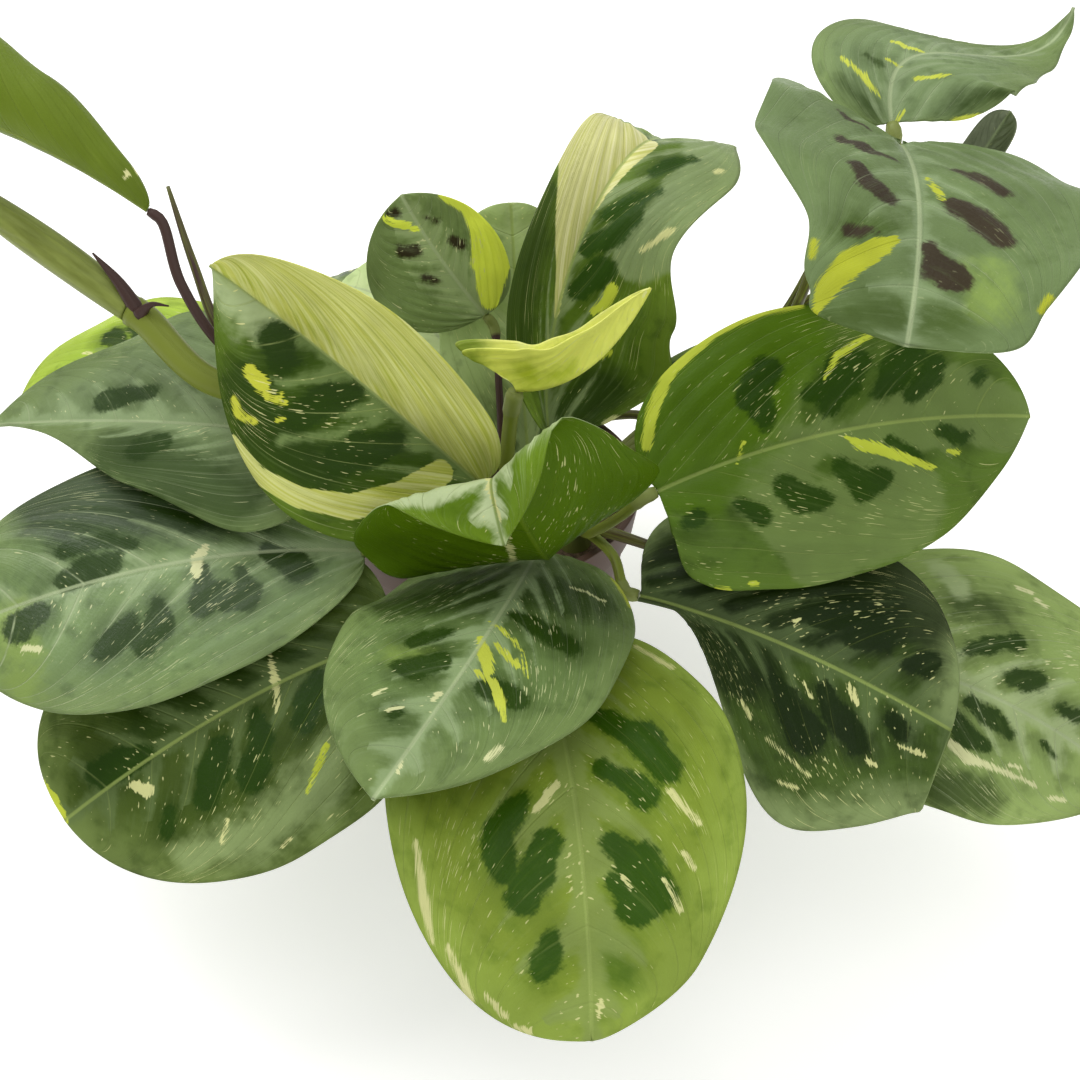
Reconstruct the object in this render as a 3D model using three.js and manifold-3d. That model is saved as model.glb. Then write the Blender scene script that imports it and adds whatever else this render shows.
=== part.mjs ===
// A prayer plant with patterned leaves in its nursery pot, in millimetres, +Z up.
// The origin is the middle of the pot's foot, on the surface that the pot stands on.
// Seven shoots stand in the soil. Each has a crown and its leaf stalks in one piece,
// and every leaf blade is a piece of its own, bent and folded as the plant holds it.
import * as THREE from "three";
import { mergeVertices } from "three/addons/utils/BufferGeometryUtils.js";
import Module from "manifold-3d";

const wasm = await Module();
wasm.setup();

// Pot
const potHeight = 84;
const potRimRadius = 43;
const potBaseRadius = 30;
const potWall = 1.6;
const potFloor = 2.4;
const potRimBand = 13;
const potRimStep = 1.8;
const potRimRound = 0.8;
const potFootHeight = 2.5;
const potFootWidth = 5;
const potFootDisc = 9;
const drainHoleRadius = 4.5;
const drainHoleCircle = 17;
const drainHoles = 6;
const drainHoleSides = 12;
const potSegments = 48;

// Soil
const soilTop = 76;
const soilGap = 0.35;
const soilCrown = 2.2;
const soilLump = 0.7;
const soilLumpsAround = 5;
const soilRings = 6;
const soilWallGap = 0.45;

// Leaves and stalks
const bladeThickness = 0.8;
const bladeRows = 10;
const bladeColumns = 4;
const ribSteps = 128;
const slopeStep = 1e-3;
const veinStart = 1.6;
const veinLean = 0.25;
const veinReach = 0.55;
const baseWidth = 1.6;
const tipWidth = 0.4;
const furledLeast = 2.5;
const jointGap = 0.4;
const stalkSides = 6;
const stalkSteps = 11;
const sheathSwell = 1.3;
const sheathShare = 0.45;
const jointSwell = 0.4;
const jointLength = 8;
const crownRadius = 5;
const crownTopRadius = 3.2;
const crownDepth = 12;
const crownRise = 5;
const crownSides = 10;

// Colours and roughness of the plain materials
const looks = {
  pot: [0x8a4a35, 0.6],
  soil: [0x5b4938, 1],
  stalk: [0x5a4a22, 0.5],
  silver: [0x7f966b, 0.45],
  green: [0x4d6b23, 0.45],
  lime: [0x9bb02f, 0.45],
};

// Where the middle of the plant is, off the pot's middle
const plantOffset = [9, -8];

// Where each shoot's crown stands on the soil
const shoots = {
  middle: [-2, -3],
  left: [-22, 4],
  front_left: [-15, -16],
  front: [2, -18],
  front_right: [15, -9],
  right: [20, 9],
  back: [2, 28],
};

// A leaf's values: rib is the line of its midrib from the stalk to the tip. face is the
// side that its upper surface turns to. Pairs of values are for the half to the right of
// the rib and the half to the left, seen from the upper surface with the tip away. half is
// the width of each. fold lifts a half at the rib and curl bends it on towards the margin,
// in degrees, at the base and at the tip. wave is the margin's rise and fall, waves how many
// there are, and phase where they start. belly below 1 sets the widest place nearer the
// base. power is for the base and the tip: over 1 draws that end out, under 1 makes it
// blunt. edge makes a half wider or narrower at even steps from its base to its tip. lobe is
// how far the base reaches back past the stalk, for its length. via is the way that the
// stalk takes from its shoot's crown, stalk its radius, and approach the way that it meets
// the blade where that isn't the rib's own.
const leaves = {
  leaf_front_low: {
    color: "green", shoot: "front", via: [[4, -34, 87.5], [5, -46, 86]],
    rib: [[6, -56, 82], [14, -109, 82], [17, -150, 56]], face: [0.05, -0.4, 0.9],
    half: [42, 39], power: [[0.85, 1.1], [1, 1.25]],
  },
  leaf_front_middle: {
    color: "silver", shoot: "front", via: [],
    rib: [[5, -32, 92], [-8, -78, 103], [-29, -121, 100]], face: [0, -0.3, 0.95],
    half: [33, 36], fold: [[-16, 8], [0, 8]], power: [[0.85, 1.05], [0.85, 1.45]],
  },
  leaf_front_cupped: {
    color: "green", shoot: "front", via: [],
    rib: [[6, -26, 104], [6, -50, 108], [-3, -55, 132], [-2, -67, 124]], face: [-0.3, 0.5, 1],
    half: [36, 32], fold: [[12, 0], [22, 22]], curl: [[-6, -6], [-6, -6]], wave: 1,
    belly: [1.3, 1.2], power: [[1.3, 0.9], [1.6, 0.9]], lobe: [0, 0],
  },
  leaf_left_low: {
    color: "green", shoot: "front_left", via: [[-20, -36, 87.4]],
    rib: [[-30, -53, 83], [-69, -69, 74], [-107, -88, 52]], face: [-0.1, -0.5, 0.85],
    half: [38, 44], power: [[0.85, 0.55], [0.85, 0.95]],
  },
  leaf_left_middle: {
    color: "silver", shoot: "front_left", via: [[-26, -28, 89]],
    rib: [[-39, -37, 97], [-88, -44, 98], [-138, -56, 87]],
    face: [0, -0.5, 0.85], half: [31, 35], fold: [[2, 2], [8, 8]], belly: [1.1, 0.95],
  },
  leaf_left_folded: {
    color: "lime", shoot: "front_left", via: [[-14, -26, 94], [-12, -36, 106]],
    rib: [[-9, -36, 118], [-43, -21, 143], [-73, -7, 161]], face: [0, -0.77, 0.64],
    half: [33, 36], fold: [[62, 62], [2, 2]], curl: [[0, 0], [-10, -10]],
    belly: [0.85, 0.85], power: [[0.85, 1.2], [1.1, 1.9]],
  },
  leaf_left_high: {
    color: "silver", shoot: "left", via: [[-28, -4, 98], [-38, -12, 112]],
    rib: [[-50, -16, 117], [-94, -11, 118], [-139, 1, 108]], face: [0, -0.2, 1],
    half: [35, 33], fold: [[4, 8], [-8, 8]], belly: [0.8, 0.7], power: [[0.85, 1.2], [0.85, 3]],
  },
  leaf_left_back: {
    color: "lime", shoot: "left", via: [[-38, 16, 90], [-60, 24, 100]],
    rib: [[-77, 30, 105], [-112, 44, 98], [-149, 42, 81]], face: [0, -0.1, 1],
    half: [30, 30], power: [[0.85, 1.6], [0.85, 1.6]],
  },
  leaf_left_furled: {
    color: "lime", shoot: "left", via: [[-30, 1, 102], [-46, -5, 125], [-70, -9, 137], [-82, -1, 152]],
    rib: [[-90, 9, 167], [-122, 20, 182], [-156, 32, 189]], face: [0.5, 0.5, 0.2],
    half: [40, 40], fold: [[0, 0], [0, 0]], curl: [[160, 160], [160, 160]], furled: true,
    belly: [1.3, 1.3], lobe: [0, 0], power: [[1.3, 0.9], [1.3, 0.9]], wave: 0.3,
    edge: [[0.3, 0.5, 0.7, 0.9, 1], [0.3, 0.5, 0.7, 0.9, 1]],
  },
  leaf_middle_tall: {
    color: "green", shoot: "middle", via: [[3, -1, 94]],
    rib: [[8, -5, 112], [12, 14, 142], [26, 34, 165], [42, 74, 152]], face: [0.15, -0.35, 0.9],
    half: [33, 22], fold: [[8, 30], [60, -10]], curl: [[-14, -14], [-30, -30]],
    belly: [1.3, 0.95], power: [[0.5, 0.35], [0.85, 1]],
    edge: [[1, 1.35, 0.75, 0.88, 1], [0.8, 0.85, 0.62, 0.88, 0.9]],
  },
  leaf_middle_new: {
    color: "lime", shoot: "middle", via: [[-3, -6, 94], [-2, -10, 113]], stalk: 1.9,
    approach: [0.2, 0, 1],
    rib: [[0, -11, 128], [18, -10, 134], [33, -4, 153]], face: [0, 0.1, 1],
    half: [12, 12], fold: [[80, 80], [75, 75]], curl: [[5, 5], [5, 5]],
    belly: [0.6, 0.6], lobe: [1.2, 1.2], wave: 0.5,
  },
  leaf_middle_back: {
    color: "green", shoot: "middle", via: [],
    rib: [[3, 6, 91], [0, 34, 118], [-2, 54, 145]], face: [0, -0.77, 0.64],
    half: [19, 20], power: [[0.85, 1.4], [0.85, 1.4]],
  },
  leaf_middle_small: {
    color: "lime", shoot: "middle", via: [[-4, 3, 94], [-5, 15, 109]], stalk: 1,
    rib: [[-9, 30, 124], [-21, 31, 142], [-30, 34, 158]], face: [-0.1, -0.8, 0.6],
    half: [16, 21], wave: 0.8,
  },
  leaf_right_middle: {
    color: "green", shoot: "front_right", via: [[19, -24, 92], [27, -31, 104]],
    rib: [[35, -32, 112], [80, -22, 123], [127, -20, 126]], face: [0.05, -0.6, 0.8],
    half: [37, 34], power: [[0.6, 1.4], [1, 1.05]],
  },
  leaf_right_low: {
    color: "green", shoot: "front_right", via: [[20, -22, 89], [25, -33, 91]],
    rib: [[31, -45, 89], [66, -61, 87], [106, -74, 71]], face: [0.1, -0.5, 0.85],
    half: [43, 34], belly: [1.5, 0.95], power: [[4, 0.15], [0.9, 0.9]], lobe: [0, 0.1],
    edge: [[1, 1, 1, 0.9, 0.9], [1, 1, 1, 1.05, 1.05]],
  },
  leaf_right_outer: {
    color: "silver", shoot: "front_right", via: [[30, -22, 88], [48, -34, 88], [66, -44, 82]],
    rib: [[80, -52, 77], [118, -62, 71], [151, -82, 59]], face: [0.2, -0.45, 0.88],
    half: [33, 37], fold: [[0, 0], [8, 8]], power: [[0.85, 1.05], [0.85, 1.2]],
  },
  leaf_right_high: {
    color: "silver", shoot: "right", approach: [0.4, -0.4, 0.9],
    via: [[45, 10, 110], [66, 9, 138], [70, 3, 165], [66, -2, 180], [75, -10, 187]],
    rib: [[85, -18, 198], [80, -62, 206], [72, -100, 199]], face: [0.1, -0.1, 1],
    half: [32, 37], fold: [[22, 8], [8, 8]], belly: [0.7, 0.95], lobe: [0.75, 0.14],
    power: [[0.6, 0.4], [0.85, 0.6]], edge: [[0.8, 1.12, 0.88, 0.78, 1.5], [1, 1, 0.93, 0.85, 1.25]],
  },
  leaf_right_top: {
    color: "silver", shoot: "right", via: [[42, 13, 108], [64, 14, 140], [80, 6, 172]],
    rib: [[85, -7, 197.6], [98, 18, 203], [118, 36, 196], [138, 46, 203]], face: [0, -0.15, 1],
    half: [30, 28], fold: [[8, 20], [14, -20]], belly: [0.7, 0.95],
    power: [[0.85, 1.2], [0.85, 2]], edge: [[1, 1.2, 0.45, 0.25, 0.2], [1, 0.95, 0.85, 0.9, 1]],
  },
  leaf_right_bud: {
    color: "silver", shoot: "right", via: [[40, 16, 104], [62, 19, 128], [88, 14, 147]],
    rib: [[104, 14, 160], [113, 21, 172], [122, 28, 184]], face: [0, -0.6, 0.8],
    half: [10, 10], fold: [[30, 30], [30, 30]], curl: [[60, 60], [60, 60]], wave: 0.3,
  },
  leaf_back_left_high: {
    color: "silver", shoot: "back", via: [[-5, 30, 92]],
    rib: [[-14, 32, 104], [-32, 50, 113], [-53, 67, 111]], face: [0, -0.3, 1],
    half: [25, 25],
  },
  leaf_back_middle: {
    color: "green", shoot: "back", via: [[8, 34, 90], [13, 42, 99]],
    rib: [[18, 48, 104], [28, 95, 104], [36, 132, 72]], face: [0, 0.2, 1],
    half: [33, 33],
  },
  leaf_back_right: {
    color: "green", shoot: "back", via: [[18, 33, 86], [31, 34, 88]],
    rib: [[42, 36, 88], [82, 66, 80], [118, 92, 52]], face: [0.1, 0.1, 1],
    half: [31, 31],
  },
  leaf_back_left: {
    color: "green", shoot: "back", via: [[-9, 34, 90]],
    rib: [[-26, 46, 98], [-52, 88, 98], [-82, 122, 68]], face: [-0.1, 0.2, 1],
    half: [31, 31],
  },
};

// New leaves that are still rolled up: the line of each from its foot to its tip, and its
// radius at the foot, at the thickest place and at the tip.
const rolledLeaf = {
  line: [[-97, 4, 142], [-113, 14, 149], [-132, 25, 157], [-158, 41, 167]],
  radii: [4.2, 5.6, 0.8],
  steps: 12,
  sides: 10,
};
const rolledLeafStem = {
  line: [
    [-22, 4, 70], [-26, 2, 92], [-40, -7, 117], [-58, -14, 127],
    [-77, -12, 132], [-93, 1.5, 140.3], [-96.4, 3.6, 141.7],
  ],
  radii: [3, 3.6, 4.6],
};
const spear = {
  line: [[-64, -9, 132], [-73, -4, 139], [-81, 10, 152], [-88, 25, 165]],
  radii: [1.2, 1.2, 0.5],
};

// What a leaf has where its entry says nothing else
const leafDefaults = {
  fold: [[8, 8], [8, 8]],
  curl: [[-14, -14], [-14, -14]],
  power: [[0.85, 1.05], [0.85, 1.05]],
  belly: [0.95, 0.95],
  edge: [[1, 1], [1, 1]],
  lobe: [0.14, 0.14],
  point: 0.03,
  wave: 1.5,
  waves: 2.5,
  phase: [0, 0.35],
  furled: false,
  stalk: 1.35,
};

const vec = (p) => new THREE.Vector3(...p);
const radians = THREE.MathUtils.degToRad;
const blend = ([a, b], w) => a * (1 - w) + b * w;

// The polynomial through 3 or 4 points at even steps, at t from 0 to 1.
function ribPoint(points, t) {
  const last = points.length - 1;
  const sum = new THREE.Vector3();
  points.forEach((point, i) => {
    let weight = 1;
    for (let j = 0; j <= last; j++) if (j !== i) weight *= (t * last - j) / (i - j);
    sum.addScaledVector(vec(point), weight);
  });
  return sum;
}

// The rib as a line measured along its length: its total length, and its place, its
// direction, the normal nearest to the leaf's face and the direction to the right there.
function ribOf(leaf) {
  const places = [];
  const along = [0];
  for (let i = 0; i <= ribSteps; i++) places.push(ribPoint(leaf.rib, i / ribSteps));
  for (let i = 1; i <= ribSteps; i++)
    along.push(along[i - 1] + places[i].distanceTo(places[i - 1]));
  const length = along[ribSteps];
  const face = vec(leaf.face);
  function frame(s) {
    const inside = THREE.MathUtils.clamp(s, 0, length);
    let i = 1;
    while (i < ribSteps && along[i] < inside) i++;
    const share = (inside - along[i - 1]) / (along[i] - along[i - 1]);
    const t = (i - 1 + share) / ribSteps;
    const place = ribPoint(leaf.rib, t);
    const ahead = ribPoint(leaf.rib, t + slopeStep).sub(ribPoint(leaf.rib, t - slopeStep));
    ahead.normalize();
    place.addScaledVector(ahead, s - inside);
    const normal = face.clone().addScaledVector(ahead, -face.dot(ahead)).normalize();
    return { place, ahead, normal, right: ahead.clone().cross(normal) };
  }
  return { length, frame };
}

// The edge's value at u, eased from each of its even steps to the next.
function edgeShare(edge, u) {
  const place = u * (edge.length - 1);
  const step = Math.min(Math.floor(place), edge.length - 2);
  const share = THREE.MathUtils.smoothstep(place - step, 0, 1);
  return blend([edge[step], edge[step + 1]], share);
}

// The margin of one half in the flat leaf: distance along the rib and out from it at u.
function marginOf(leaf, length, side, u) {
  const [lobe, belly] = [leaf.lobe[side], leaf.belly[side]];
  const round = (length * (1 - Math.cos(Math.PI * u))) / 2;
  const back = lobe * length * Math.sin(Math.PI * u) * (1 - u) ** 4;
  const along = round * (1 - leaf.point) - back + leaf.point * length * u ** 8;
  const swell = Math.max(Math.sin(Math.PI * u ** belly), 0);
  const width = leaf.half[side] * edgeShare(leaf.edge[side], u);
  const out = width * swell ** blend(leaf.power[side], u);
  return [along, Math.max(out, blend([baseWidth, tipWidth], u))];
}

// The middle surface of a blade at u from base to tip and v from the left margin at -1 to
// the right margin at 1. Its cross lines leave the rib at a slant, as the side veins do.
function bladeSurface(leaf) {
  const rib = ribOf(leaf);
  const reach = Math.max(...leaf.half);
  return (u, v) => {
    const side = v >= 0 ? 0 : 1;
    const q = Math.abs(v);
    const start = rib.length * u ** veinStart;
    const [along, out] = marginOf(leaf, rib.length, side, u);
    const lean = start + veinLean * (along - start);
    const s = (1 - q) ** 2 * start + 2 * q * (1 - q) * lean + q * q * along;
    const a = 2 * q * (1 - q) * veinReach * out + q * q * out;
    const w = THREE.MathUtils.clamp(s / rib.length, 0, 1);
    const fold = radians(blend(leaf.fold[side], w));
    const bendOver = leaf.furled ? furledWidth(leaf, w) : reach;
    const bend = radians(blend(leaf.curl[side], w)) / bendOver || 1e-6;
    const across = (Math.sin(fold + bend * a) - Math.sin(fold)) / bend;
    const ripple = Math.sin(2 * Math.PI * (leaf.waves * w + leaf.phase[side]));
    const rise = (Math.cos(fold) - Math.cos(fold + bend * a)) / bend;
    const { place, normal, right } = rib.frame(s);
    return place
      .addScaledVector(right, side === 0 ? across : -across)
      .addScaledVector(normal, rise + leaf.wave * (a / reach) ** 2 * ripple);
  };
}

// The half width of a furled leaf a share w along it, so that it is rolled up alike all along.
function furledWidth(leaf, w) {
  const u = Math.acos(1 - 2 * w) / Math.PI;
  return Math.max(marginOf(leaf, 1, 0, u)[1], furledLeast);
}

// The direction that the upper surface faces at u and v, by short steps along and across.
function bladeNormal(surface, u, v) {
  if (v === 0) {
    const rightSide = bladeNormal(surface, u, slopeStep);
    return rightSide.add(bladeNormal(surface, u, -slopeStep)).normalize();
  }
  const row = THREE.MathUtils.clamp(u, slopeStep, 1 - slopeStep);
  const inner = v - Math.sign(v) * slopeStep;
  const alongU = surface(row + slopeStep, v).sub(surface(row - slopeStep, v));
  const alongV = surface(row, Math.max(v, inner)).sub(surface(row, Math.min(v, inner)));
  return alongV.cross(alongU).normalize();
}

// Two faces a blade's thickness apart over the same triangles, closed round the margin.
function bladeGeometry(leaf) {
  const surface = bladeSurface(leaf);
  const columns = 2 * bladeColumns;
  const rows = bladeRows;
  const positions = [];
  for (const side of [1, -1])
    for (let i = 0; i <= rows; i++)
      for (let j = 0; j <= columns; j++) {
        const [u, v] = [i / rows, j / bladeColumns - 1];
        const out = (side * bladeThickness) / 2;
        positions.push(...surface(u, v).addScaledVector(bladeNormal(surface, u, v), out));
      }
  const index = [];
  const at = (face, i, j) => face * (rows + 1) * (columns + 1) + i * (columns + 1) + j;
  const quad = (a, b, c, d) => index.push(a, b, c, a, c, d);
  for (let i = 0; i < rows; i++)
    for (let j = 0; j < columns; j++) {
      quad(at(0, i, j), at(0, i, j + 1), at(0, i + 1, j + 1), at(0, i + 1, j));
      index.push(at(1, i, j), at(1, i + 1, j + 1), at(1, i, j + 1));
      index.push(at(1, i, j), at(1, i + 1, j), at(1, i + 1, j + 1));
    }
  for (let i = 0; i < rows; i++) {
    quad(at(0, i, 0), at(0, i + 1, 0), at(1, i + 1, 0), at(1, i, 0));
    quad(at(0, i + 1, columns), at(0, i, columns), at(1, i, columns), at(1, i + 1, columns));
  }
  for (let j = 0; j < columns; j++) {
    quad(at(0, 0, j + 1), at(0, 0, j), at(1, 0, j), at(1, 0, j + 1));
    quad(at(0, rows, j), at(0, rows, j + 1), at(1, rows, j + 1), at(1, rows, j));
  }
  return new THREE.BufferGeometry()
    .setAttribute("position", new THREE.Float32BufferAttribute(positions, 3))
    .setIndex(index);
}

// A closed tube of changing radius along a smooth curve through points.
function tubeGeometry(points, radiusAt, steps = stalkSteps, sides = stalkSides) {
  const curve = new THREE.CatmullRomCurve3(points);
  const frames = curve.computeFrenetFrames(steps);
  const positions = [];
  for (let i = 0; i <= steps; i++) {
    const centre = curve.getPointAt(i / steps);
    const radius = radiusAt(i / steps, curve.getLength());
    for (let j = 0; j < sides; j++) {
      const turn = (2 * Math.PI * j) / sides;
      const point = centre
        .clone()
        .addScaledVector(frames.normals[i], radius * Math.cos(turn))
        .addScaledVector(frames.binormals[i], radius * Math.sin(turn));
      positions.push(...point);
    }
  }
  positions.push(...curve.getPointAt(0), ...curve.getPointAt(1));
  const index = [];
  const at = (i, j) => i * sides + (j % sides);
  const startCentre = (steps + 1) * sides;
  for (let j = 0; j < sides; j++) {
    for (let i = 0; i < steps; i++) {
      index.push(at(i, j), at(i, j + 1), at(i + 1, j + 1));
      index.push(at(i, j), at(i + 1, j + 1), at(i + 1, j));
    }
    index.push(startCentre, at(0, j + 1), at(0, j));
    index.push(startCentre + 1, at(steps, j), at(steps, j + 1));
  }
  return new THREE.BufferGeometry()
    .setAttribute("position", new THREE.Float32BufferAttribute(positions, 3))
    .setIndex(index);
}

// A closed geometry as a solid that can be joined and cut, and back again.
function solid(geometry) {
  const bare = geometry.clone();
  bare.deleteAttribute("normal");
  bare.deleteAttribute("uv");
  const merged = mergeVertices(bare, 1e-4);
  return new wasm.Manifold(
    new wasm.Mesh({
      numProp: 3,
      vertProperties: merged.attributes.position.array,
      triVerts: new Uint32Array(merged.index.array),
    }),
  );
}

function geometryOf(made) {
  const mesh = made.getMesh();
  const geometry = new THREE.BufferGeometry();
  geometry.setAttribute("position", new THREE.BufferAttribute(mesh.vertProperties, 3));
  geometry.setIndex(new THREE.BufferAttribute(mesh.triVerts, 1));
  return geometry;
}

// The way of a leaf's stalk, from inside its crown to just short of the blade.
function stalkPoints(leaf) {
  const [x, y] = shoots[leaf.shoot];
  const { ahead, place } = ribOf(leaf).frame(0);
  const way = leaf.approach ? vec(leaf.approach).normalize() : ahead;
  const gap = leaf.approach ? jointGap + bladeThickness / 2 : jointGap;
  const end = place.clone().addScaledVector(way, -gap);
  const bend = place.clone().addScaledVector(way, -jointLength / 2);
  const root = [x, y, soilTop - crownDepth / 2];
  const collar = [x, y, soilTop + crownRise];
  return [root, collar, ...leaf.via].map(vec).concat([bend, end]);
}

// A stalk is thick in its sheath, thin above it and a little swollen at the blade.
function stalkRadii(leaf) {
  return (share, length) => {
    const sheath = sheathSwell * Math.max(0, 1 - share / sheathShare) ** 1.5;
    const joint = length * (1 - share) < jointLength ? jointSwell : 0;
    return leaf.stalk + sheath + joint;
  };
}

// A solid turned round an upright axis at x and y from radius and height pairs.
function turned(profile, sides, x = 0, y = 0) {
  const points = profile.map(([r, z]) => new THREE.Vector2(r, z));
  const lathe = new THREE.LatheGeometry(points, sides);
  return solid(lathe.rotateX(Math.PI / 2).translate(x, y, 0));
}

// A shoot's crown, which stands in the soil and narrows above it.
function crown([x, y]) {
  const low = soilTop - crownDepth;
  const top = soilTop + crownRise;
  const side = [[crownRadius, low], [crownRadius, soilTop + 1], [crownTopRadius, top]];
  return turned([[0, low], ...side, [0, top]], crownSides, x, y);
}

// The plain hole in the soil that a crown stands in, with a small gap all round.
function crownHole([x, y]) {
  const low = soilTop - crownDepth - soilGap;
  const high = potHeight + crownRise;
  const radius = crownRadius + soilGap;
  return turned([[0, low], [radius, low], [radius, high], [0, high]], crownSides, x, y);
}

const potted = new THREE.Group();
const plant = new THREE.Group();
plant.position.set(...plantOffset, 0);
potted.add(plant);

function add(group, name, geometry, look) {
  const [color, roughness] = looks[look];
  const material = new THREE.MeshStandardMaterial({ color, roughness, metalness: 0 });
  const mesh = new THREE.Mesh(geometry, material);
  mesh.name = name;
  group.add(mesh);
}

// The pot's wall: its outer radius below the rim band, and its inner radius, at a height.
const bandLow = potHeight - potRimBand;
const floorTop = potFootHeight + potFloor;

function outerRadius(z) {
  return potBaseRadius + ((potRimRadius - potRimStep - potBaseRadius) * z) / potHeight;
}

function innerRadius(z) {
  const [low, high] = [outerRadius(floorTop) - potWall, outerRadius(bandLow) - potWall];
  if (z <= bandLow) return low + ((high - low) * (z - floorTop)) / (bandLow - floorTop);
  return high + ((potRimRadius - 2 * potWall - high + 1) * (z - bandLow)) / potRimBand;
}

// The pot: a tapered wall with a stepped rim band, and a floor with drain holes that
// stands on a foot ring and a disc in its middle.
function makePot() {
  const bandOut = outerRadius(bandLow) + potRimStep;
  const profile = [
    [0, 0],
    [potFootDisc, 0],
    [potFootDisc, potFootHeight],
    [potBaseRadius - potFootWidth, potFootHeight],
    [potBaseRadius - potFootWidth, 0],
    [potBaseRadius, 0],
    [outerRadius(bandLow), bandLow],
    [bandOut, bandLow + potRimStep],
    [potRimRadius, potHeight - potRimRound],
    [potRimRadius - potRimRound, potHeight],
    [innerRadius(potHeight), potHeight],
    [innerRadius(bandLow), bandLow],
    [innerRadius(floorTop), floorTop],
    [0, floorTop],
  ];
  let body = turned(profile, potSegments);
  for (let i = 0; i < drainHoles; i++) {
    const turn = (2 * Math.PI * i) / drainHoles;
    const [x, y] = [drainHoleCircle * Math.cos(turn), drainHoleCircle * Math.sin(turn)];
    const hole = [[0, -1], [drainHoleRadius, -1], [drainHoleRadius, floorTop + 1], [0, floorTop + 1]];
    body = body.subtract(turned(hole, drainHoleSides, x, y));
  }
  add(potted, "pot", geometryOf(body), "pot");
}

// A ring of points round the pot's axis.
function ring(radius, heightAt) {
  const points = [];
  for (let j = 0; j < potSegments; j++) {
    const turn = (2 * Math.PI * j) / potSegments;
    points.push(radius * Math.cos(turn), radius * Math.sin(turn), heightAt(turn));
  }
  return points;
}

// The rise and fall of the soil's lumps, from -1 to 1, at a turn of its ring i.
function lumps(turn, i) {
  return Math.sin(soilLumpsAround * turn + 2 * i) * Math.sin(2 * i + 3 * Math.cos(3 * turn));
}

// The soil fills the pot to below its rim. Its top is a low mound with lumps.
function makeSoil() {
  const low = floorTop + soilGap;
  const edge = innerRadius(soilTop) - soilWallGap;
  const positions = [0, 0, soilTop + soilCrown];
  for (let i = 1; i <= soilRings; i++) {
    const share = i / soilRings;
    const mound = soilTop + soilCrown * Math.cos((Math.PI / 2) * share);
    const lump = i < soilRings ? soilLump : 0;
    positions.push(...ring(edge * share, (turn) => mound + lump * lumps(turn, i)));
  }
  positions.push(...ring(innerRadius(bandLow) - soilWallGap, () => bandLow));
  positions.push(...ring(innerRadius(low) - soilWallGap, () => low), 0, 0, low);
  const at = (i, j) => (i === 0 ? 0 : 1 + (i - 1) * potSegments + (j % potSegments));
  const last = soilRings + 2;
  const index = [];
  for (let j = 0; j < potSegments; j++) {
    index.push(0, at(1, j), at(1, j + 1));
    for (let i = 1; i < last; i++) {
      index.push(at(i, j), at(i + 1, j), at(i + 1, j + 1));
      index.push(at(i, j), at(i + 1, j + 1), at(i, j + 1));
    }
    index.push(at(last, j), at(last + 1, 0), at(last, j + 1));
  }
  const geometry = new THREE.BufferGeometry()
    .setAttribute("position", new THREE.Float32BufferAttribute(positions, 3))
    .setIndex(index);
  let body = solid(geometry);
  for (const [x, y] of Object.values(shoots))
    body = body.subtract(crownHole([x + plantOffset[0], y + plantOffset[1]]));
  add(potted, "soil", geometryOf(body), "soil");
}

// Each shoot: its crown and the stalks of its leaves, grown together.
function makeShoots(grown) {
  for (const [shoot, foot] of Object.entries(shoots)) {
    let body = crown(foot);
    for (const leaf of Object.values(grown))
      if (leaf.shoot === shoot)
        body = body.add(solid(tubeGeometry(stalkPoints(leaf), stalkRadii(leaf))));
    if (shoot === "left")
      for (const { line, radii } of [rolledLeafStem, spear])
        body = body.add(solid(tubeGeometry(line.map(vec), spindle(radii))));
    add(plant, "stalks_" + shoot, geometryOf(body), "stalk");
  }
}

// A radius that swells from the first value to the second halfway, then falls to the third.
function spindle([foot, middle, tip]) {
  return (share) => (1 - share) * (1 - 2 * share) * foot + 4 * share * (1 - share) * middle
    + share * (2 * share - 1) * tip;
}

const grown = {};
for (const [name, leaf] of Object.entries(leaves)) grown[name] = { ...leafDefaults, ...leaf };

makePot();
makeSoil();
makeShoots(grown);
for (const [name, leaf] of Object.entries(grown)) add(plant, name, bladeGeometry(leaf), leaf.color);
const { line, radii, steps, sides } = rolledLeaf;
add(plant, "leaf_left_rolled", tubeGeometry(line.map(vec), spindle(radii), steps, sides), "lime");

export default potted;
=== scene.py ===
import math
import bpy
import numpy as np
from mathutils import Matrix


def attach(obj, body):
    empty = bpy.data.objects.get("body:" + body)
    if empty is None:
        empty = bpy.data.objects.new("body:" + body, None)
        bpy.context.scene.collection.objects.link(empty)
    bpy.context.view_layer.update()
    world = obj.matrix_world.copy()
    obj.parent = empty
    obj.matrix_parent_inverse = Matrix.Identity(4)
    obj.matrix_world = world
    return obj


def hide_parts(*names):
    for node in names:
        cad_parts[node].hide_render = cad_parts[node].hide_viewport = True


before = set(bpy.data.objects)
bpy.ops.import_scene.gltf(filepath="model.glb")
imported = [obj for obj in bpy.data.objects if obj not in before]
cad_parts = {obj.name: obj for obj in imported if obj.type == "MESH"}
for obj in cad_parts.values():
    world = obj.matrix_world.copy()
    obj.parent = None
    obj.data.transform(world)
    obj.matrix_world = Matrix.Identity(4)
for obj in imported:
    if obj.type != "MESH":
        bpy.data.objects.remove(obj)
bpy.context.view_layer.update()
print("nodes in the CAD model:", len(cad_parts))

# Everything below is in millimetres and becomes metres when a mesh is made.
toMetres = 0.001
# The plant stands a little off the pot's middle.
plantOffset = np.array([9.0, -8.0, 0.0])
soilTop = 76.0

# The camera in the plant's own millimetres: where it is, how steeply it looks down, its lens
# and its sensor, and how many pixels wide and high the picture is.
camera = dict(place=(6.0, -345.9, 359.7), down=40.0, lens=54.0, sensor=36.0, picture=1080)


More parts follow.
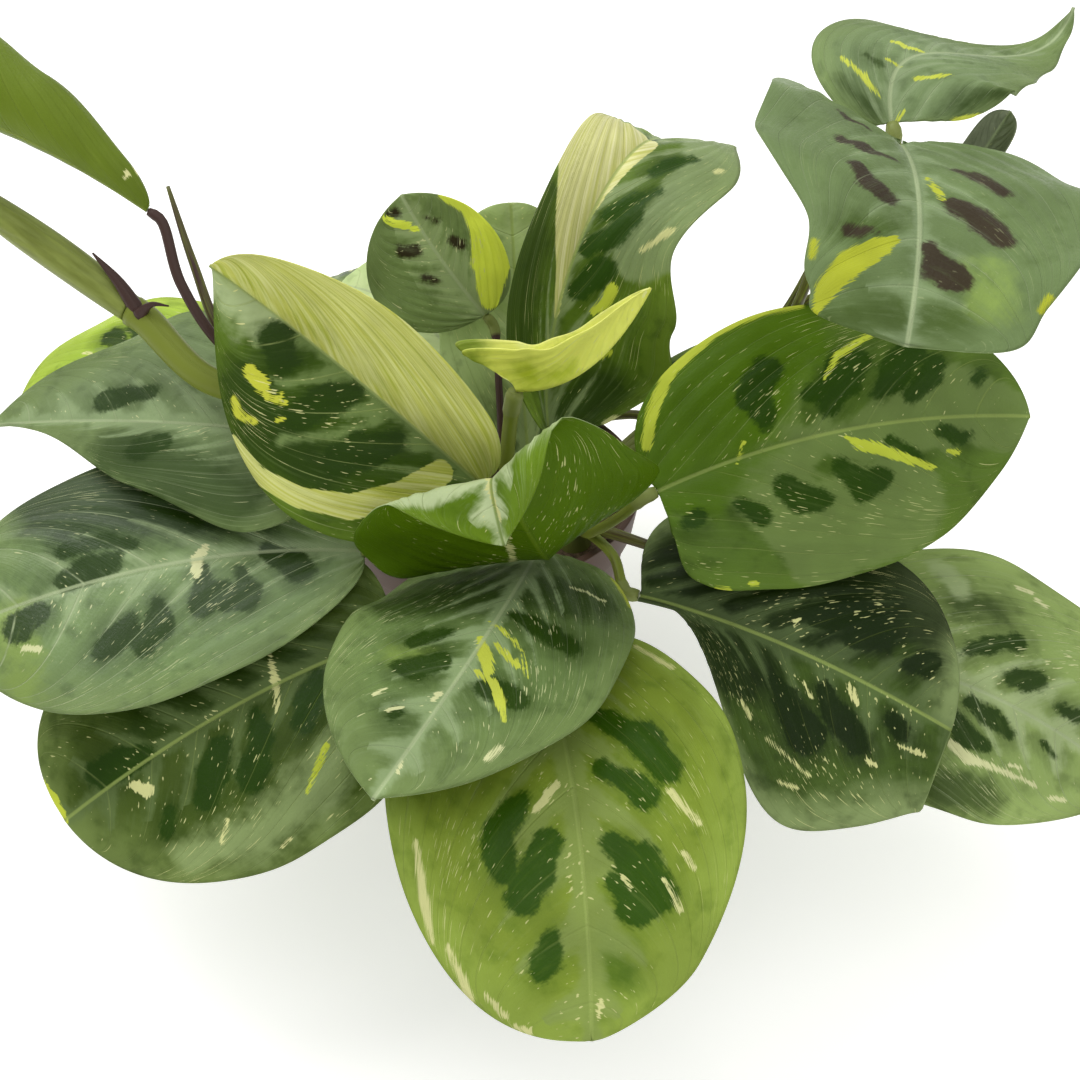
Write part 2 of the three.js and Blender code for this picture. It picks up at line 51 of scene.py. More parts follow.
def linear(hexColor):
    # an sRGB channel c is c / 12.92 up to 0.04045 and ((c + 0.055) / 1.055) ** 2.4 above it
    channels = [int(hexColor[i:i + 2], 16) / 255 for i in (1, 3, 5)]
    return (*(c / 12.92 if c <= 0.04045 else ((c + 0.055) / 1.055) ** 2.4 for c in channels), 1.0)


def pixelsOf(points):
    # the picture's x and y of points: their slope sideways and upward from the camera, times
    # the lens in pixels, from the picture's middle
    down = math.radians(camera["down"])
    ahead = np.array([0, math.cos(down), -math.sin(down)])
    up = np.array([0, math.sin(down), math.cos(down)])
    away = points - np.array(camera["place"])
    depth = away @ ahead
    lensPixels = camera["lens"] / camera["sensor"] * camera["picture"]
    x = camera["picture"] / 2 + lensPixels * away[..., 0] / depth
    y = camera["picture"] / 2 - lensPixels * (away @ up) / depth
    return np.stack([x, y], -1)


def smooth(low, high, x):
    # 0 below low, 1 above high, and 3 t^2 - 2 t^3 between them
    t = np.clip((x - low) / (high - low), 0, 1)
    return t * t * (3 - 2 * t)


def unit(vectors):
    return vectors / np.maximum(np.linalg.norm(vectors, axis=-1, keepdims=True), 1e-9)


def makeMesh(name, points, quads, triangles=None, fields=None):
    # points in plant millimetres, faces as rows of point numbers, fields as one value or
    # three values for each point
    triangles = np.zeros((0, 3), int) if triangles is None else triangles
    sizes = np.concatenate([np.full(len(quads), 4), np.full(len(triangles), 3)])
    corners = np.concatenate([quads.ravel(), triangles.ravel()]).astype(np.int32)
    starts = np.concatenate([[0], np.cumsum(sizes)[:-1]]).astype(np.int32)
    places = ((points + plantOffset) * toMetres).astype(np.float32)
    mesh = bpy.data.meshes.new(name)
    mesh.vertices.add(len(points))
    mesh.vertices.foreach_set("co", places.ravel())
    mesh.loops.add(len(corners))
    mesh.loops.foreach_set("vertex_index", corners)
    mesh.polygons.add(len(sizes))
    mesh.polygons.foreach_set("loop_start", starts)
    mesh.update(calc_edges=True)
    mesh.validate()
    for key, values in (fields or {}).items():
        kind, slot = ("FLOAT_VECTOR", "vector") if values.ndim == 2 else ("FLOAT", "value")
        made = mesh.attributes.new(key, kind, "POINT")
        made.data.foreach_set(slot, values.astype(np.float32).ravel())
    mesh.shade_smooth()
    piece = bpy.data.objects.new(name, mesh)
    bpy.context.scene.collection.objects.link(piece)
    return piece


def addNode(tree, kind, inputs=None, **settings):
    # one node with its settings; an input is a value or the socket that feeds it
    made = tree.nodes.new(kind)
    for key, value in settings.items():
        setattr(made, key, value)
    for key, value in (inputs or {}).items():
        if isinstance(value, bpy.types.NodeSocket):
            tree.links.new(value, made.inputs[key])
        else:
            made.inputs[key].default_value = value
    return made


def newMaterial(name):
    material = bpy.data.materials.new(name)
    material.use_nodes = True
    tree = material.node_tree
    tree.nodes.clear()
    return material, tree


triangleCounts = []


def finishPiece(piece, material, slot, *nodes):
    piece.data.materials.append(material)
    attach(piece, "root")
    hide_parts(*nodes)
    piece.data.calc_loop_triangles()
    triangleCounts.append(len(piece.data.loop_triangles))


# The leaf blades

# What a leaf has where its own entry says nothing else. rib is the midrib's line, face the
# side that the upper surface turns to, and pairs are for the right half and the left half.
# Half widths, waves and the pale widths are in mm, and fold and curl in degrees at the base and
# at the tip. marks are what the photograph shows on the leaf: a kind and then points with the
# picture's x and y and a radius in mm, which are found on the blade.
leafUsual = dict(
    fold=((8, 8), (8, 8)), curl=((-14, -14), (-14, -14)), power=((0.85, 1.05), (0.85, 1.05)),
    belly=(0.95, 0.95), edge=((1, 1), (1, 1)), lobe=(0.14, 0.14), point=0.03, wave=1.5, waves=2.5,
    phase=(0, 0.35), furled=False, sideVeins=8, marks=(), blotches=0, seed=1, grid=1.25,
    paleWidth=3.0, tongueWidth=2.2, tongueReach=0.45,
)

# Sizes that all blades share, in mm where they are lengths
blade = dict(
    thickness=0.55, thinEdge=0.3,                   # at the middle and at the margin
    baseWidth=1.6, tipWidth=0.4, furledLeast=2.5,
    veinStart=1.6, veinLean=0.25, veinReach=0.55,   # how the cross lines leave the rib
    veinOut=0.57, veinBend=0.25, veinCrowd=1.3, veinSlant=0.7,
    quilt=0.42,                                     # how far it bulges between its side veins
    quiltInner=(0.03, 0.3), quiltOuter=(1, 0.7),    # where the bulge starts and ends
    groove=0.5, grooveWidth=1.3, grooveFade=0.7,    # the furrow along the midrib
    furledRelief=0.4, sideCells=1.15,
    paleTaper=0.6,                                  # how much the pale band narrows to the tip
    far=40.0, pastTongue=9.0, halfShift=300.0,
)
# the fifth kind of mark is painted shade, a soft darker zone where the leaf lies in shadow, and the
# sixth is painted light, a soft brighter or more saturated zone where light falls on or shines
# through the leaf; the rest are the leaf's own colours
markKinds = ("dark", "cream", "lime", "pale", "deepGreenAndShade", "litGreen", "butter")


def ribPoints(rib, t):
    # the polynomial through the rib's points at even steps
    rib = np.asarray(rib, float)
    last = len(rib) - 1
    total = np.zeros(np.shape(t) + (3,))
    for i in range(last + 1):
        weight = np.ones(np.shape(t))
        for j in range(last + 1):
            if j != i:
                weight = weight * (t * last - j) / (i - j)
        total += weight[..., None] * rib[i]
    return total


def ribOf(leaf):
    # the rib measured along its length: steps, places and directions
    t = np.linspace(0, 1, 401)
    places = ribPoints(leaf["rib"], t)
    along = np.concatenate([[0], np.cumsum(np.linalg.norm(np.diff(places, axis=0), axis=1))])
    ahead = unit(ribPoints(leaf["rib"], t + 1e-3) - ribPoints(leaf["rib"], t - 1e-3))
    return dict(along=along, places=places, ahead=ahead, length=along[-1])


def ribFrame(leaf, rib, s):
    # place, normal nearest to the leaf's face, and the direction to the right, s mm along
    inside = np.clip(s, 0, rib["length"])
    place = np.stack([np.interp(inside, rib["along"], rib["places"][:, k]) for k in range(3)], -1)
    ahead = np.stack([np.interp(inside, rib["along"], rib["ahead"][:, k]) for k in range(3)], -1)
    ahead = unit(ahead)
    place = place + ahead * (s - inside)[..., None]
    face = np.array(leaf["face"], float)
    normal = unit(face - ahead * (ahead @ face)[..., None])
    return place, normal, np.cross(ahead, normal)


def edgeShare(edge, u):
    # values at even steps from base to tip, eased from each to the next
    edge = np.asarray(edge, float)
    place = u * (len(edge) - 1)
    step = np.minimum(np.floor(place).astype(int), len(edge) - 2)
    share = smooth(0, 1, place - step)
    return edge[step] * (1 - share) + edge[step + 1] * share


def marginOf(leaf, length, side, u):
    # along = length (1 - cos pi u) / 2, less a lobe at the base, plus a point at the tip;
    # out = half width times sin(pi u^belly) raised to a power that changes from base to tip
    lobe, point = leaf["lobe"][side], leaf["point"]
    along = length * (1 - np.cos(np.pi * u)) / 2 * (1 - point)
    along = along - lobe * length * np.sin(np.pi * u) * (1 - u) ** 4 + point * length * u ** 8
    swell = np.maximum(np.sin(np.pi * u ** leaf["belly"][side]), 0)
    low, high = leaf["power"][side]
    power = low * (1 - u) + high * u
    out = leaf["half"][side] * edgeShare(leaf["edge"][side], u) * swell ** power
    return along, np.maximum(out, blade["baseWidth"] * (1 - u) + blade["tipWidth"] * u)


def bladeSurface(leaf, rib, u, v):
    # a cross line of the blade leaves the rib at length * u^1.6 and reaches the margin at
    # marginOf(u), on a quadratic curve in |v|; a mm out from the rib the section is an arc
    # that starts at the fold's angle and turns by the curl over the half width, and the
    # margin rises and falls by wave * (a / reach)^2 * sin of its place along the rib
    length, reach = rib["length"], max(leaf["half"])
    right = v >= 0
    q = np.abs(v)
    margins = [marginOf(leaf, length, side, u) for side in (0, 1)]
    along = np.where(right, margins[0][0], margins[1][0])
    out = np.where(right, margins[0][1], margins[1][1])
    start = length * u ** blade["veinStart"]
    lean = start + blade["veinLean"] * (along - start)
    s = (1 - q) ** 2 * start + 2 * q * (1 - q) * lean + q * q * along
    a = 2 * q * (1 - q) * blade["veinReach"] * out + q * q * out
    w = np.clip(s / length, 0, 1)

    def between(key):
        ends = np.array(leaf[key], float)
        values = ends[:, 0, None, None] * (1 - w) + ends[:, 1, None, None] * w
        return np.where(right, values[0], values[1])

    fold, curl = np.radians(between("fold")), np.radians(between("curl"))
    bendOver = reach
    if leaf["furled"]:
        widths = marginOf(leaf, 1, 0, np.arccos(1 - 2 * w) / np.pi)[1]
        bendOver = np.maximum(widths, blade["furledLeast"])
    bend = curl / bendOver
    bend = np.where(np.abs(bend) < 1e-6, 1e-6, bend)
    across = (np.sin(fold + bend * a) - np.sin(fold)) / bend
    rise = (np.cos(fold) - np.cos(fold + bend * a)) / bend
    phase = np.where(right, leaf["phase"][0], leaf["phase"][1])
    rise = rise + leaf["wave"] * (a / reach) ** 2 * np.sin(2 * np.pi * (leaf["waves"] * w + phase))
    place, normal, toRight = ribFrame(leaf, rib, s)
    sideways = toRight * (np.where(right, 1, -1) * across)[..., None]
    points = place + sideways + normal * rise[..., None]
    return points, np.where(right, a, -a), s, out


def veinPhase(leaf, length, a, s):
    # side veins leave the rib at a slant and bend to the tip: one that starts s0 along the
    # rib is at s = s0 + (length - s0) k(n), with n the share of the way out to the margin and
    # k = veinOut n + veinBend n^2; those that would start behind the base crowd there, drawn
    # in by a logarithm. The value is a whole number on each vein.
    u = np.linspace(0, 1, 300)
    share = np.zeros_like(a)
    for side, here in ((0, a >= 0), (1, a < 0)):
        along, out = marginOf(leaf, length, side, u)
        start = int(np.argmin(along))
        share[here] = np.abs(a[here]) / np.interp(s[here], along[start:], out[start:])
    share = np.clip(share, 0, 1)
    k = blade["veinOut"] * share + blade["veinBend"] * share ** 2
    origin = (s - length * k) / (1 - k)
    spacing = length / leaf["sideVeins"]
    number, crowd = origin / spacing, blade["veinCrowd"]
    crowded = -crowd * np.log1p(np.maximum(-number, 0) / crowd)
    return np.where(number >= 0, number, crowded), spacing, share


def gapTo(flat, chain):
    # mm from each flat place to the edge of a chain of round points joined by straight sides
    gap = np.full(flat.shape[:-1], blade["far"])
    ends = chain if len(chain) > 1 else [chain[0], chain[0]]
    for (place0, radius0), (place1, radius1) in zip(ends[:-1], ends[1:]):
        step = place1 - place0
        reach = max(float(step @ step), 1e-6)
        t = np.clip((flat - place0) @ step / reach, 0, 1)
        near = np.linalg.norm(flat - place0 - t[..., None] * step, axis=-1)
        gap = np.minimum(gap, near - (radius0 * (1 - t) + radius1 * t))
    return gap


def bladeMarks(leaf, points, u, v, flat):
    # the gap in mm to the nearest mark of each kind at every place
    gaps = np.full(u.shape + (len(markKinds),), blade["far"])
    pixels = pixelsOf(points)

    def placeAt(off):
        # the place at which off is least
        return flat[np.unravel_index(np.argmin(off), off.shape)]

    def mark(kind, gap):
        k = markKinds.index(kind)
        gaps[..., k] = np.minimum(gaps[..., k], gap)

    for kind, *places in leaf["marks"]:
        side = places.pop(0) if isinstance(places[0], str) else None
        sameSide = (v > 0) == (side == "right")
        if not places:
            # the whole half, up to the rib
            away = np.abs(flat[..., 0])
            mark(kind, np.where(sameSide, -away, away))
            continue
        chain = []
        for x, y, radius in places:
            off = np.hypot(pixels[..., 0] - x, pixels[..., 1] - y)
            chain.append((placeAt(np.where(sameSide, off, np.inf) if side else off), radius))
        mark(kind, gapTo(flat, chain))
    for kind, *places in leaf["made"]:
        # v goes over 2 from margin to margin where u goes over 1 from base to tip
        mark(kind, gapTo(flat, [
            (placeAt(np.hypot(u - uPlace, (v - vPlace) / 2)), radius)
            for uPlace, vPlace, radius in places]))
    return gaps


# The marks of a leaf whose own can't be seen in the photograph, in u from base to tip and v
# from rib to margin. wander, size, inner, outer, streakU and streakV are ends of random draws.
unseenMarks = dict(
    blotchFrom=0.26, blotchSpan=0.5, wander=(-0.15, 0.15), size=(0.1, 0.14), lobes=(-0.035, 0.035),
    inner=(0.3, 0.36), outer=(0.58, 0.7), innerLean=0.6, innerSize=0.5, streaks=4,
    streakU=(0.2, 0.85), streakV=(0.3, 0.85), streakStep=(0.01, 0.1), streakEnd=0.95,
    streakRadii=(0.35, 0.7),
)


def usualMarks(leaf):
    # blotches in two rows beside the rib, half a step apart, each a pair of lobes between two
    # side veins, and a few cream streaks
    rng = np.random.default_rng(leaf["seed"])
    usual, made = unseenMarks, []
    for side in (-1, 1):
        for k in range(leaf["blotches"]):
            step = (k + 0.5 * (side > 0) + rng.uniform(*usual["wander"])) / leaf["blotches"]
            u = usual["blotchFrom"] + usual["blotchSpan"] * step
            size = max(leaf["half"]) * rng.uniform(*usual["size"])
            for lobe in usual["lobes"]:
                inner, outer = rng.uniform(*usual["inner"]), rng.uniform(*usual["outer"])
                first = (u + lobe * usual["innerLean"], side * inner, size * usual["innerSize"])
                made.append(("dark", first, (u + lobe, side * outer, size)))
        for k in range(usual["streaks"]):
            u, q = rng.uniform(*usual["streakU"]), rng.uniform(*usual["streakV"])
            stepU, stepV = usual["streakStep"]
            thin, thick = usual["streakRadii"]
            end = min(q + stepV, usual["streakEnd"])
            made.append(("cream", (u, side * q, thin), (u + stepU, side * end, thick)))
    return made


def sheetFaces(shape):
    # quads over a grid of upper points, over the same grid of lower points that follows them,
    # and round the margin, where they join each upper point to the one below it
    number = np.arange(shape[0] * shape[1]).reshape(shape)
    count = number.size
    here, right = number[:-1, :-1], number[:-1, 1:]
    farRight, far = number[1:, 1:], number[1:, :-1]
    top = np.stack([here, right, farRight, far], -1).reshape(-1, 4)
    under = np.stack([here, far, farRight, right], -1).reshape(-1, 4) + count
    sides = [
        np.stack([one, other, other + count, one + count], -1)
        for one, other in (
            (number[:-1, 0], number[1:, 0]), (number[1:, -1], number[:-1, -1]),
            (number[0, 1:], number[0, :-1]), (number[-1, :-1], number[-1, 1:]))]
    return np.concatenate([top, under, *sides])


def bladeShape(leaf):
    # rows from base to tip and columns from the left margin to the right, on both faces,
    # half the thickness out along the middle surface's normal, closed round the margin
    rib = ribOf(leaf)
    rows = int(round(rib["length"] * math.pi / 2 / leaf["grid"]))
    side = int(round(max(leaf["half"]) / leaf["grid"] * blade["sideCells"]))
    u, v = np.meshgrid(
        np.linspace(0, 1, rows + 1), np.linspace(-1, 1, 2 * side + 1), indexing="ij")
    middle, a, s, out = bladeSurface(leaf, rib, u, v)
    q = np.abs(v)
    phase, spacing, share = veinPhase(leaf, rib["length"], a, s)
    # the blade bulges between its side veins, and less towards the rib and the margin
    bulge = (blade["quilt"] * np.sin(np.pi * phase) ** 2 * smooth(*blade["quiltInner"], share)
             * smooth(*blade["quiltOuter"], share))
    furrow = blade["groove"] * np.exp(-(a / blade["grooveWidth"]) ** 2)
    furrow = furrow * (1 - blade["grooveFade"] * u)
    relief = (bulge - furrow) * (blade["furledRelief"] if leaf["furled"] else 1)
    across = np.gradient(middle, axis=1)
    ahead = np.gradient(middle, axis=0)
    normal = unit(np.cross(across, ahead))
    half = (blade["thickness"] * (1 - q ** 8) + blade["thinEdge"] * q ** 8) / 2
    upper = middle + normal * (relief + half)[..., None]
    lower = middle + normal * (relief - half)[..., None]

    flat = np.stack([a, s], -1)
    gaps = bladeMarks(leaf, upper, u, v, flat)
    # the noise on the two halves is drawn from places far apart
    slant = phase * spacing * blade["veinSlant"]
    veins = np.stack([np.abs(a) + np.where(v < 0, blade["halfShift"], 0), slant, phase], -1)
    # pale feather along the rib: a band that narrows to the tip, and a pointed tongue out
    # along every side vein
    fromVein = np.abs(phase - np.round(phase)) * spacing * blade["veinSlant"]
    tongue = fromVein - leaf["tongueWidth"] * (1 - share / leaf["tongueReach"])
    tongue = np.where(share < leaf["tongueReach"], tongue, blade["pastTongue"])
    taper = 1 - blade["paleTaper"] * np.clip(s / rib["length"], 0, 1)
    band = np.abs(a) - leaf["paleWidth"] * taper
    pale = markKinds.index("pale")
    gaps[..., pale] = np.minimum(gaps[..., pale], np.minimum(tongue, band))
    margin = out * (1 - q)

    def both(values):
        # the upper points' values, and the same for the lower points
        flatValues = values.reshape((u.size,) + values.shape[2:])
        return np.concatenate([flatValues, flatValues])

    fields = dict(
        bladePlace=both(np.stack([a, s, margin], -1)),
        bladeVeins=both(veins),
        bladeMarks=both(gaps[..., :3]),
        # the zones hold the gaps to the pale silver, to the painted shade and to the painted light
        bladeZones=both(gaps[..., 3:6]),
        bladeButter=both(gaps[..., 6]),
        bladeUnder=np.repeat([0.0, 1.0], u.size),
    )
    points = np.concatenate([upper.reshape(-1, 3), lower.reshape(-1, 3)])
    return points, sheetFaces(u.shape), fields


# A maranta blade is a thin, waxy, fleshy sheet: a satin face with a soft, broad gloss, and
# colour in patches that are sharp where cells hold no green (cream, lime) and soft where the
# green is deeper (the blotches). The underside is paler and duller.
# In each family, the colour of the shadowed zones is painted shade that also darkens the blotches'
# halos and a random mottle, and the colour of the lit zones is painted light, a brighter or more
# saturated green where light falls on or shines through the leaf.
bladeColors = dict(
    silver=dict(base="#647a44", pale="#94a878", edge="#75894f", dark="#263e08", cream="#cfd29c",
                lime="#bdc648", vein="#aab88c", deepGreenAndShade="#2f4314", litGreen="#88a04e", under="#7d8f5c",
                butter="#c0c060", butterPale="#dcdc9c", butterGreen="#a2ac34"),
    green=dict(base="#56701c", pale="#788c48", edge="#76902e", dark="#264400", cream="#cfd08e",
               lime="#bcc840", vein="#94a658", deepGreenAndShade="#243a04", litGreen="#7f9a30", under="#4c6602",
               butter="#c6c678", butterPale="#dcdaa2", butterGreen="#b0b450"),
    lime=dict(base="#3c5608", pale="#8a9f60", edge="#5f7a20", dark="#263e04", cream="#dedc9c",
              lime="#c2c640", vein="#9fae68", deepGreenAndShade="#263c06", litGreen="#93a634", under="#93a35a",
              butter="#bfc35c", butterPale="#d2d68a", butterGreen="#a3ae34"),
)
bladeFinish = dict(roughness=0.42, gloss=0.16, specks=0.75, veinLine=0.25, paleShare=0.75, halo=0.4)


def bladeMaterial(name, colors, finish):
    material, tree = newMaterial(name)
    place, veins, marks, zones = (
        addNode(tree, "ShaderNodeAttribute", attribute_name=field).outputs["Vector"]
        for field in ("bladePlace", "bladeVeins", "bladeMarks", "bladeZones"))
    under, butterGap = (
        addNode(tree, "ShaderNodeAttribute", attribute_name=field).outputs["Fac"]
        for field in ("bladeUnder", "bladeButter"))
    acrossRib, _, marginGap = addNode(tree, "ShaderNodeSeparateXYZ", {0: place}).outputs
    _, _, phase = addNode(tree, "ShaderNodeSeparateXYZ", {0: veins}).outputs
    darkGap, creamGap, limeGap = addNode(tree, "ShaderNodeSeparateXYZ", {0: marks}).outputs
    paleGap, paintedShadeGap, litGreenGap = addNode(tree, "ShaderNodeSeparateXYZ", {0: zones}).outputs

    # noise drawn out along the side veins: so many mm outward for each mm across
    def streaks(outward, across, detail, roughness=0.5):
        scale = (1 / outward, 1 / across, 0)
        scaled = addNode(tree, "ShaderNodeVectorMath", {0: veins, 1: scale}, operation="MULTIPLY")
        return addNode(tree, "ShaderNodeTexNoise", {
            "Vector": scaled.outputs[0], "Scale": 1.0, "Detail": detail, "Roughness": roughness,
        }).outputs["Fac"]

    # low where the value is at start, high where it is at end, and eased between them. First
    # the value wanders by so much with each noise, so that no patch has a drawn edge.
    def eased(value, start, end, low=0.0, high=1.0, wander=()):
        for noise, amount in wander:
            centred = addNode(tree, "ShaderNodeMath", {0: noise, 1: 0.5}, operation="SUBTRACT")
            value = addNode(tree, "ShaderNodeMath", {
                0: centred.outputs[0], 1: amount, 2: value}, operation="MULTIPLY_ADD").outputs[0]
        return addNode(tree, "ShaderNodeMapRange", {
            "Value": value, "From Min": start, "From Max": end, "To Min": low, "To Max": high,
        }, interpolation_type="SMOOTHSTEP").outputs[0]

    # noises of the blade's own place, about 6 mm, 20 mm and 1 mm wide, and three along its veins
    slow, broad, grainy = (
        addNode(tree, "ShaderNodeTexNoise", {
            "Vector": place, "Scale": scale, "Detail": detail}).outputs["Fac"]
        for scale, detail in ((0.16, 3.0), (0.05, 2.0), (1.1, 3.0)))
    ragged = streaks(3.5, 0.8, 3, 0.65)
    brushed = streaks(7, 1.6, 4, 0.6)
    fine = streaks(8, 0.5, 2)

    # blotches, with a softer halo round them
    blotchWander = ((slow, 4.5), (ragged, 2.6), (grainy, 1.4))
    darkMask = addNode(tree, "ShaderNodeMath", {
        0: eased(darkGap, 0.8, -0.9, wander=blotchWander), 1: eased(brushed, 0.2, 0.5, 0.75, 0.97),
    }, operation="MULTIPLY").outputs[0]
    haloMask = eased(darkGap, 5.0, 0.0, high=finish["halo"], wander=blotchWander)

    # zones with soft edges, then patches with sharp ones: the pale zone is the leaf's own silver,
    # the next is painted shade where the leaf lies in shadow, and the one after it is painted light
    zoneWander = ((slow, 12.0), (brushed, 4.0))
    paleMask = eased(
        paleGap, 1.6, -0.8, high=finish["paleShare"], wander=((slow, 4.0), (brushed, 4.0)))
    paintedShadeMask = eased(paintedShadeGap, 5.0, -4.0, high=0.85, wander=zoneWander)
    litGreenMask = eased(litGreenGap, 5.0, -4.0, high=0.85, wander=zoneWander)
    creamMask = eased(creamGap, 0.2, -0.2, wander=((ragged, 3.4), (fine, 1.6)))
    limeMask = eased(limeGap, 0.2, -0.2, wander=((ragged, 3.0), (fine, 1.4)))
    butterMask = eased(butterGap, 0.16, -0.16, wander=((ragged, 1.4),))
    butterStreaks = eased(streaks(14, 1.3, 3), 0.35, 0.65)
    greenStreaks = eased(streaks(16, 2.2, 4, 0.6), 0.48, 0.66, high=0.7)

    # cream specks, most of them 1 to 2 mm long and a third of a mm wide, and a few larger
    crowd = ((broad, 0.3),)
    small = eased(streaks(2.0, 0.75, 1.5, 0.6), 0.682, 0.725, high=finish["specks"], wander=crowd)
    large = eased(streaks(4.0, 1.5, 2.5, 0.7), 0.715, 0.735, high=finish["specks"], wander=crowd)
    speckMask = addNode(tree, "ShaderNodeMath", {
        0: small, 1: large}, operation="MAXIMUM").outputs[0]

    # side veins are pale lines that fade into the blade, a third of a mm each way
    saw = addNode(tree, "ShaderNodeMath", {0: phase, 1: 0.5}, operation="PINGPONG").outputs[0]
    veinLine = eased(saw, 0.035, 0.0)
    veinMask = addNode(tree, "ShaderNodeMath", {
        0: veinLine, 1: eased(brushed, 0.35, 0.6, high=finish["veinLine"]),
    }, operation="MULTIPLY").outputs[0]
    fromRib = addNode(tree, "ShaderNodeMath", {0: acrossRib}, operation="ABSOLUTE").outputs[0]
    ribMask = eased(fromRib, 0.7, 0.2, high=0.7)

    marginMask = eased(marginGap, 11.0, 0.0, high=0.75, wander=((slow, 8.0),))
    mottle = eased(slow, 0.5, 0.75, high=0.35)
    brushMask = eased(brushed, 0.5, 0.8, high=0.28)

    # one colour over another: each coat is a mask with a colour's name, or with a made colour
    def painted(start, *coats):
        shade = linear(colors[start])
        for mask, coat in coats:
            over = linear(colors[coat]) if isinstance(coat, str) else coat
            shade = addNode(tree, "ShaderNodeMix", {
                0: mask, 6: shade, 7: over}, data_type="RGBA").outputs[2]
        return shade

    butter = painted("butter", (butterStreaks, "butterPale"), (greenStreaks, "butterGreen"))
    # on both faces the shadowed zones are painted shade and the lit zones painted light
    upperFace = painted(
        "base", (marginMask, "edge"), (mottle, "deepGreenAndShade"), (paintedShadeMask, "deepGreenAndShade"), (haloMask, "deepGreenAndShade"),
        (paleMask, "pale"), (brushMask, "pale"), (litGreenMask, "litGreen"), (darkMask, "dark"),
        (veinMask, "vein"), (limeMask, "lime"), (creamMask, "cream"), (speckMask, "cream"),
        (butterMask, butter), (ribMask, "vein"))
    lowerFace = painted(
        "under", (brushMask, "vein"), (paintedShadeMask, "deepGreenAndShade"), (litGreenMask, "litGreen"),
        (veinMask, "vein"), (limeMask, "lime"), (creamMask, "cream"), (speckMask, "cream"),
        (butterMask, butter), (ribMask, "vein"))
    color = addNode(tree, "ShaderNodeMix", {
        0: under, 6: upperFace, 7: lowerFace}, data_type="RGBA").outputs[2]
    color = addNode(tree, "ShaderNodeHueSaturation", {
        "Color": color, "Value": eased(broad, 0.3, 0.7, 0.9, 1.12)}).outputs[0]

    # relief too fine for the mesh: side veins as shallow furrows, and a grain of cells
    height = 0.0
    for value, amount in ((veinLine, -0.8), (fine, 0.5), (grainy, 0.5)):
        height = addNode(tree, "ShaderNodeMath", {
            0: value, 1: amount, 2: height}, operation="MULTIPLY_ADD").outputs[0]
    bump = addNode(tree, "ShaderNodeBump", {"Height": height, "Strength": 0.5, "Distance": 0.0004})
    rough = finish["roughness"]
    shader = addNode(tree, "ShaderNodeBsdfPrincipled", {
        "Base Color": color, "Roughness": eased(grainy, 0.3, 0.7, rough - 0.05, rough + 0.08),
        "Normal": bump.outputs[0], "IOR": 1.42, "Specular IOR Level": finish["gloss"]})
    addNode(tree, "ShaderNodeOutputMaterial", {"Surface": shader.outputs[0]})
    return material


def makeLeaf(name, family, tints=None, finish=None, slot=None, **values):
    leaf = {**leafUsual, **values}
    leaf["made"] = usualMarks(leaf) if leaf["blotches"] else ()
    points, quads, fields = bladeShape(leaf)
    piece = makeMesh("blade_" + name, points, quads, fields=fields)
    colors = {**bladeColors[family], **(tints or {})}
    material = bladeMaterial("marantaBlade_" + name, colors, {**bladeFinish, **(finish or {})})
    finishPiece(piece, material, slot or "leaf_" + family, "leaf_" + name)
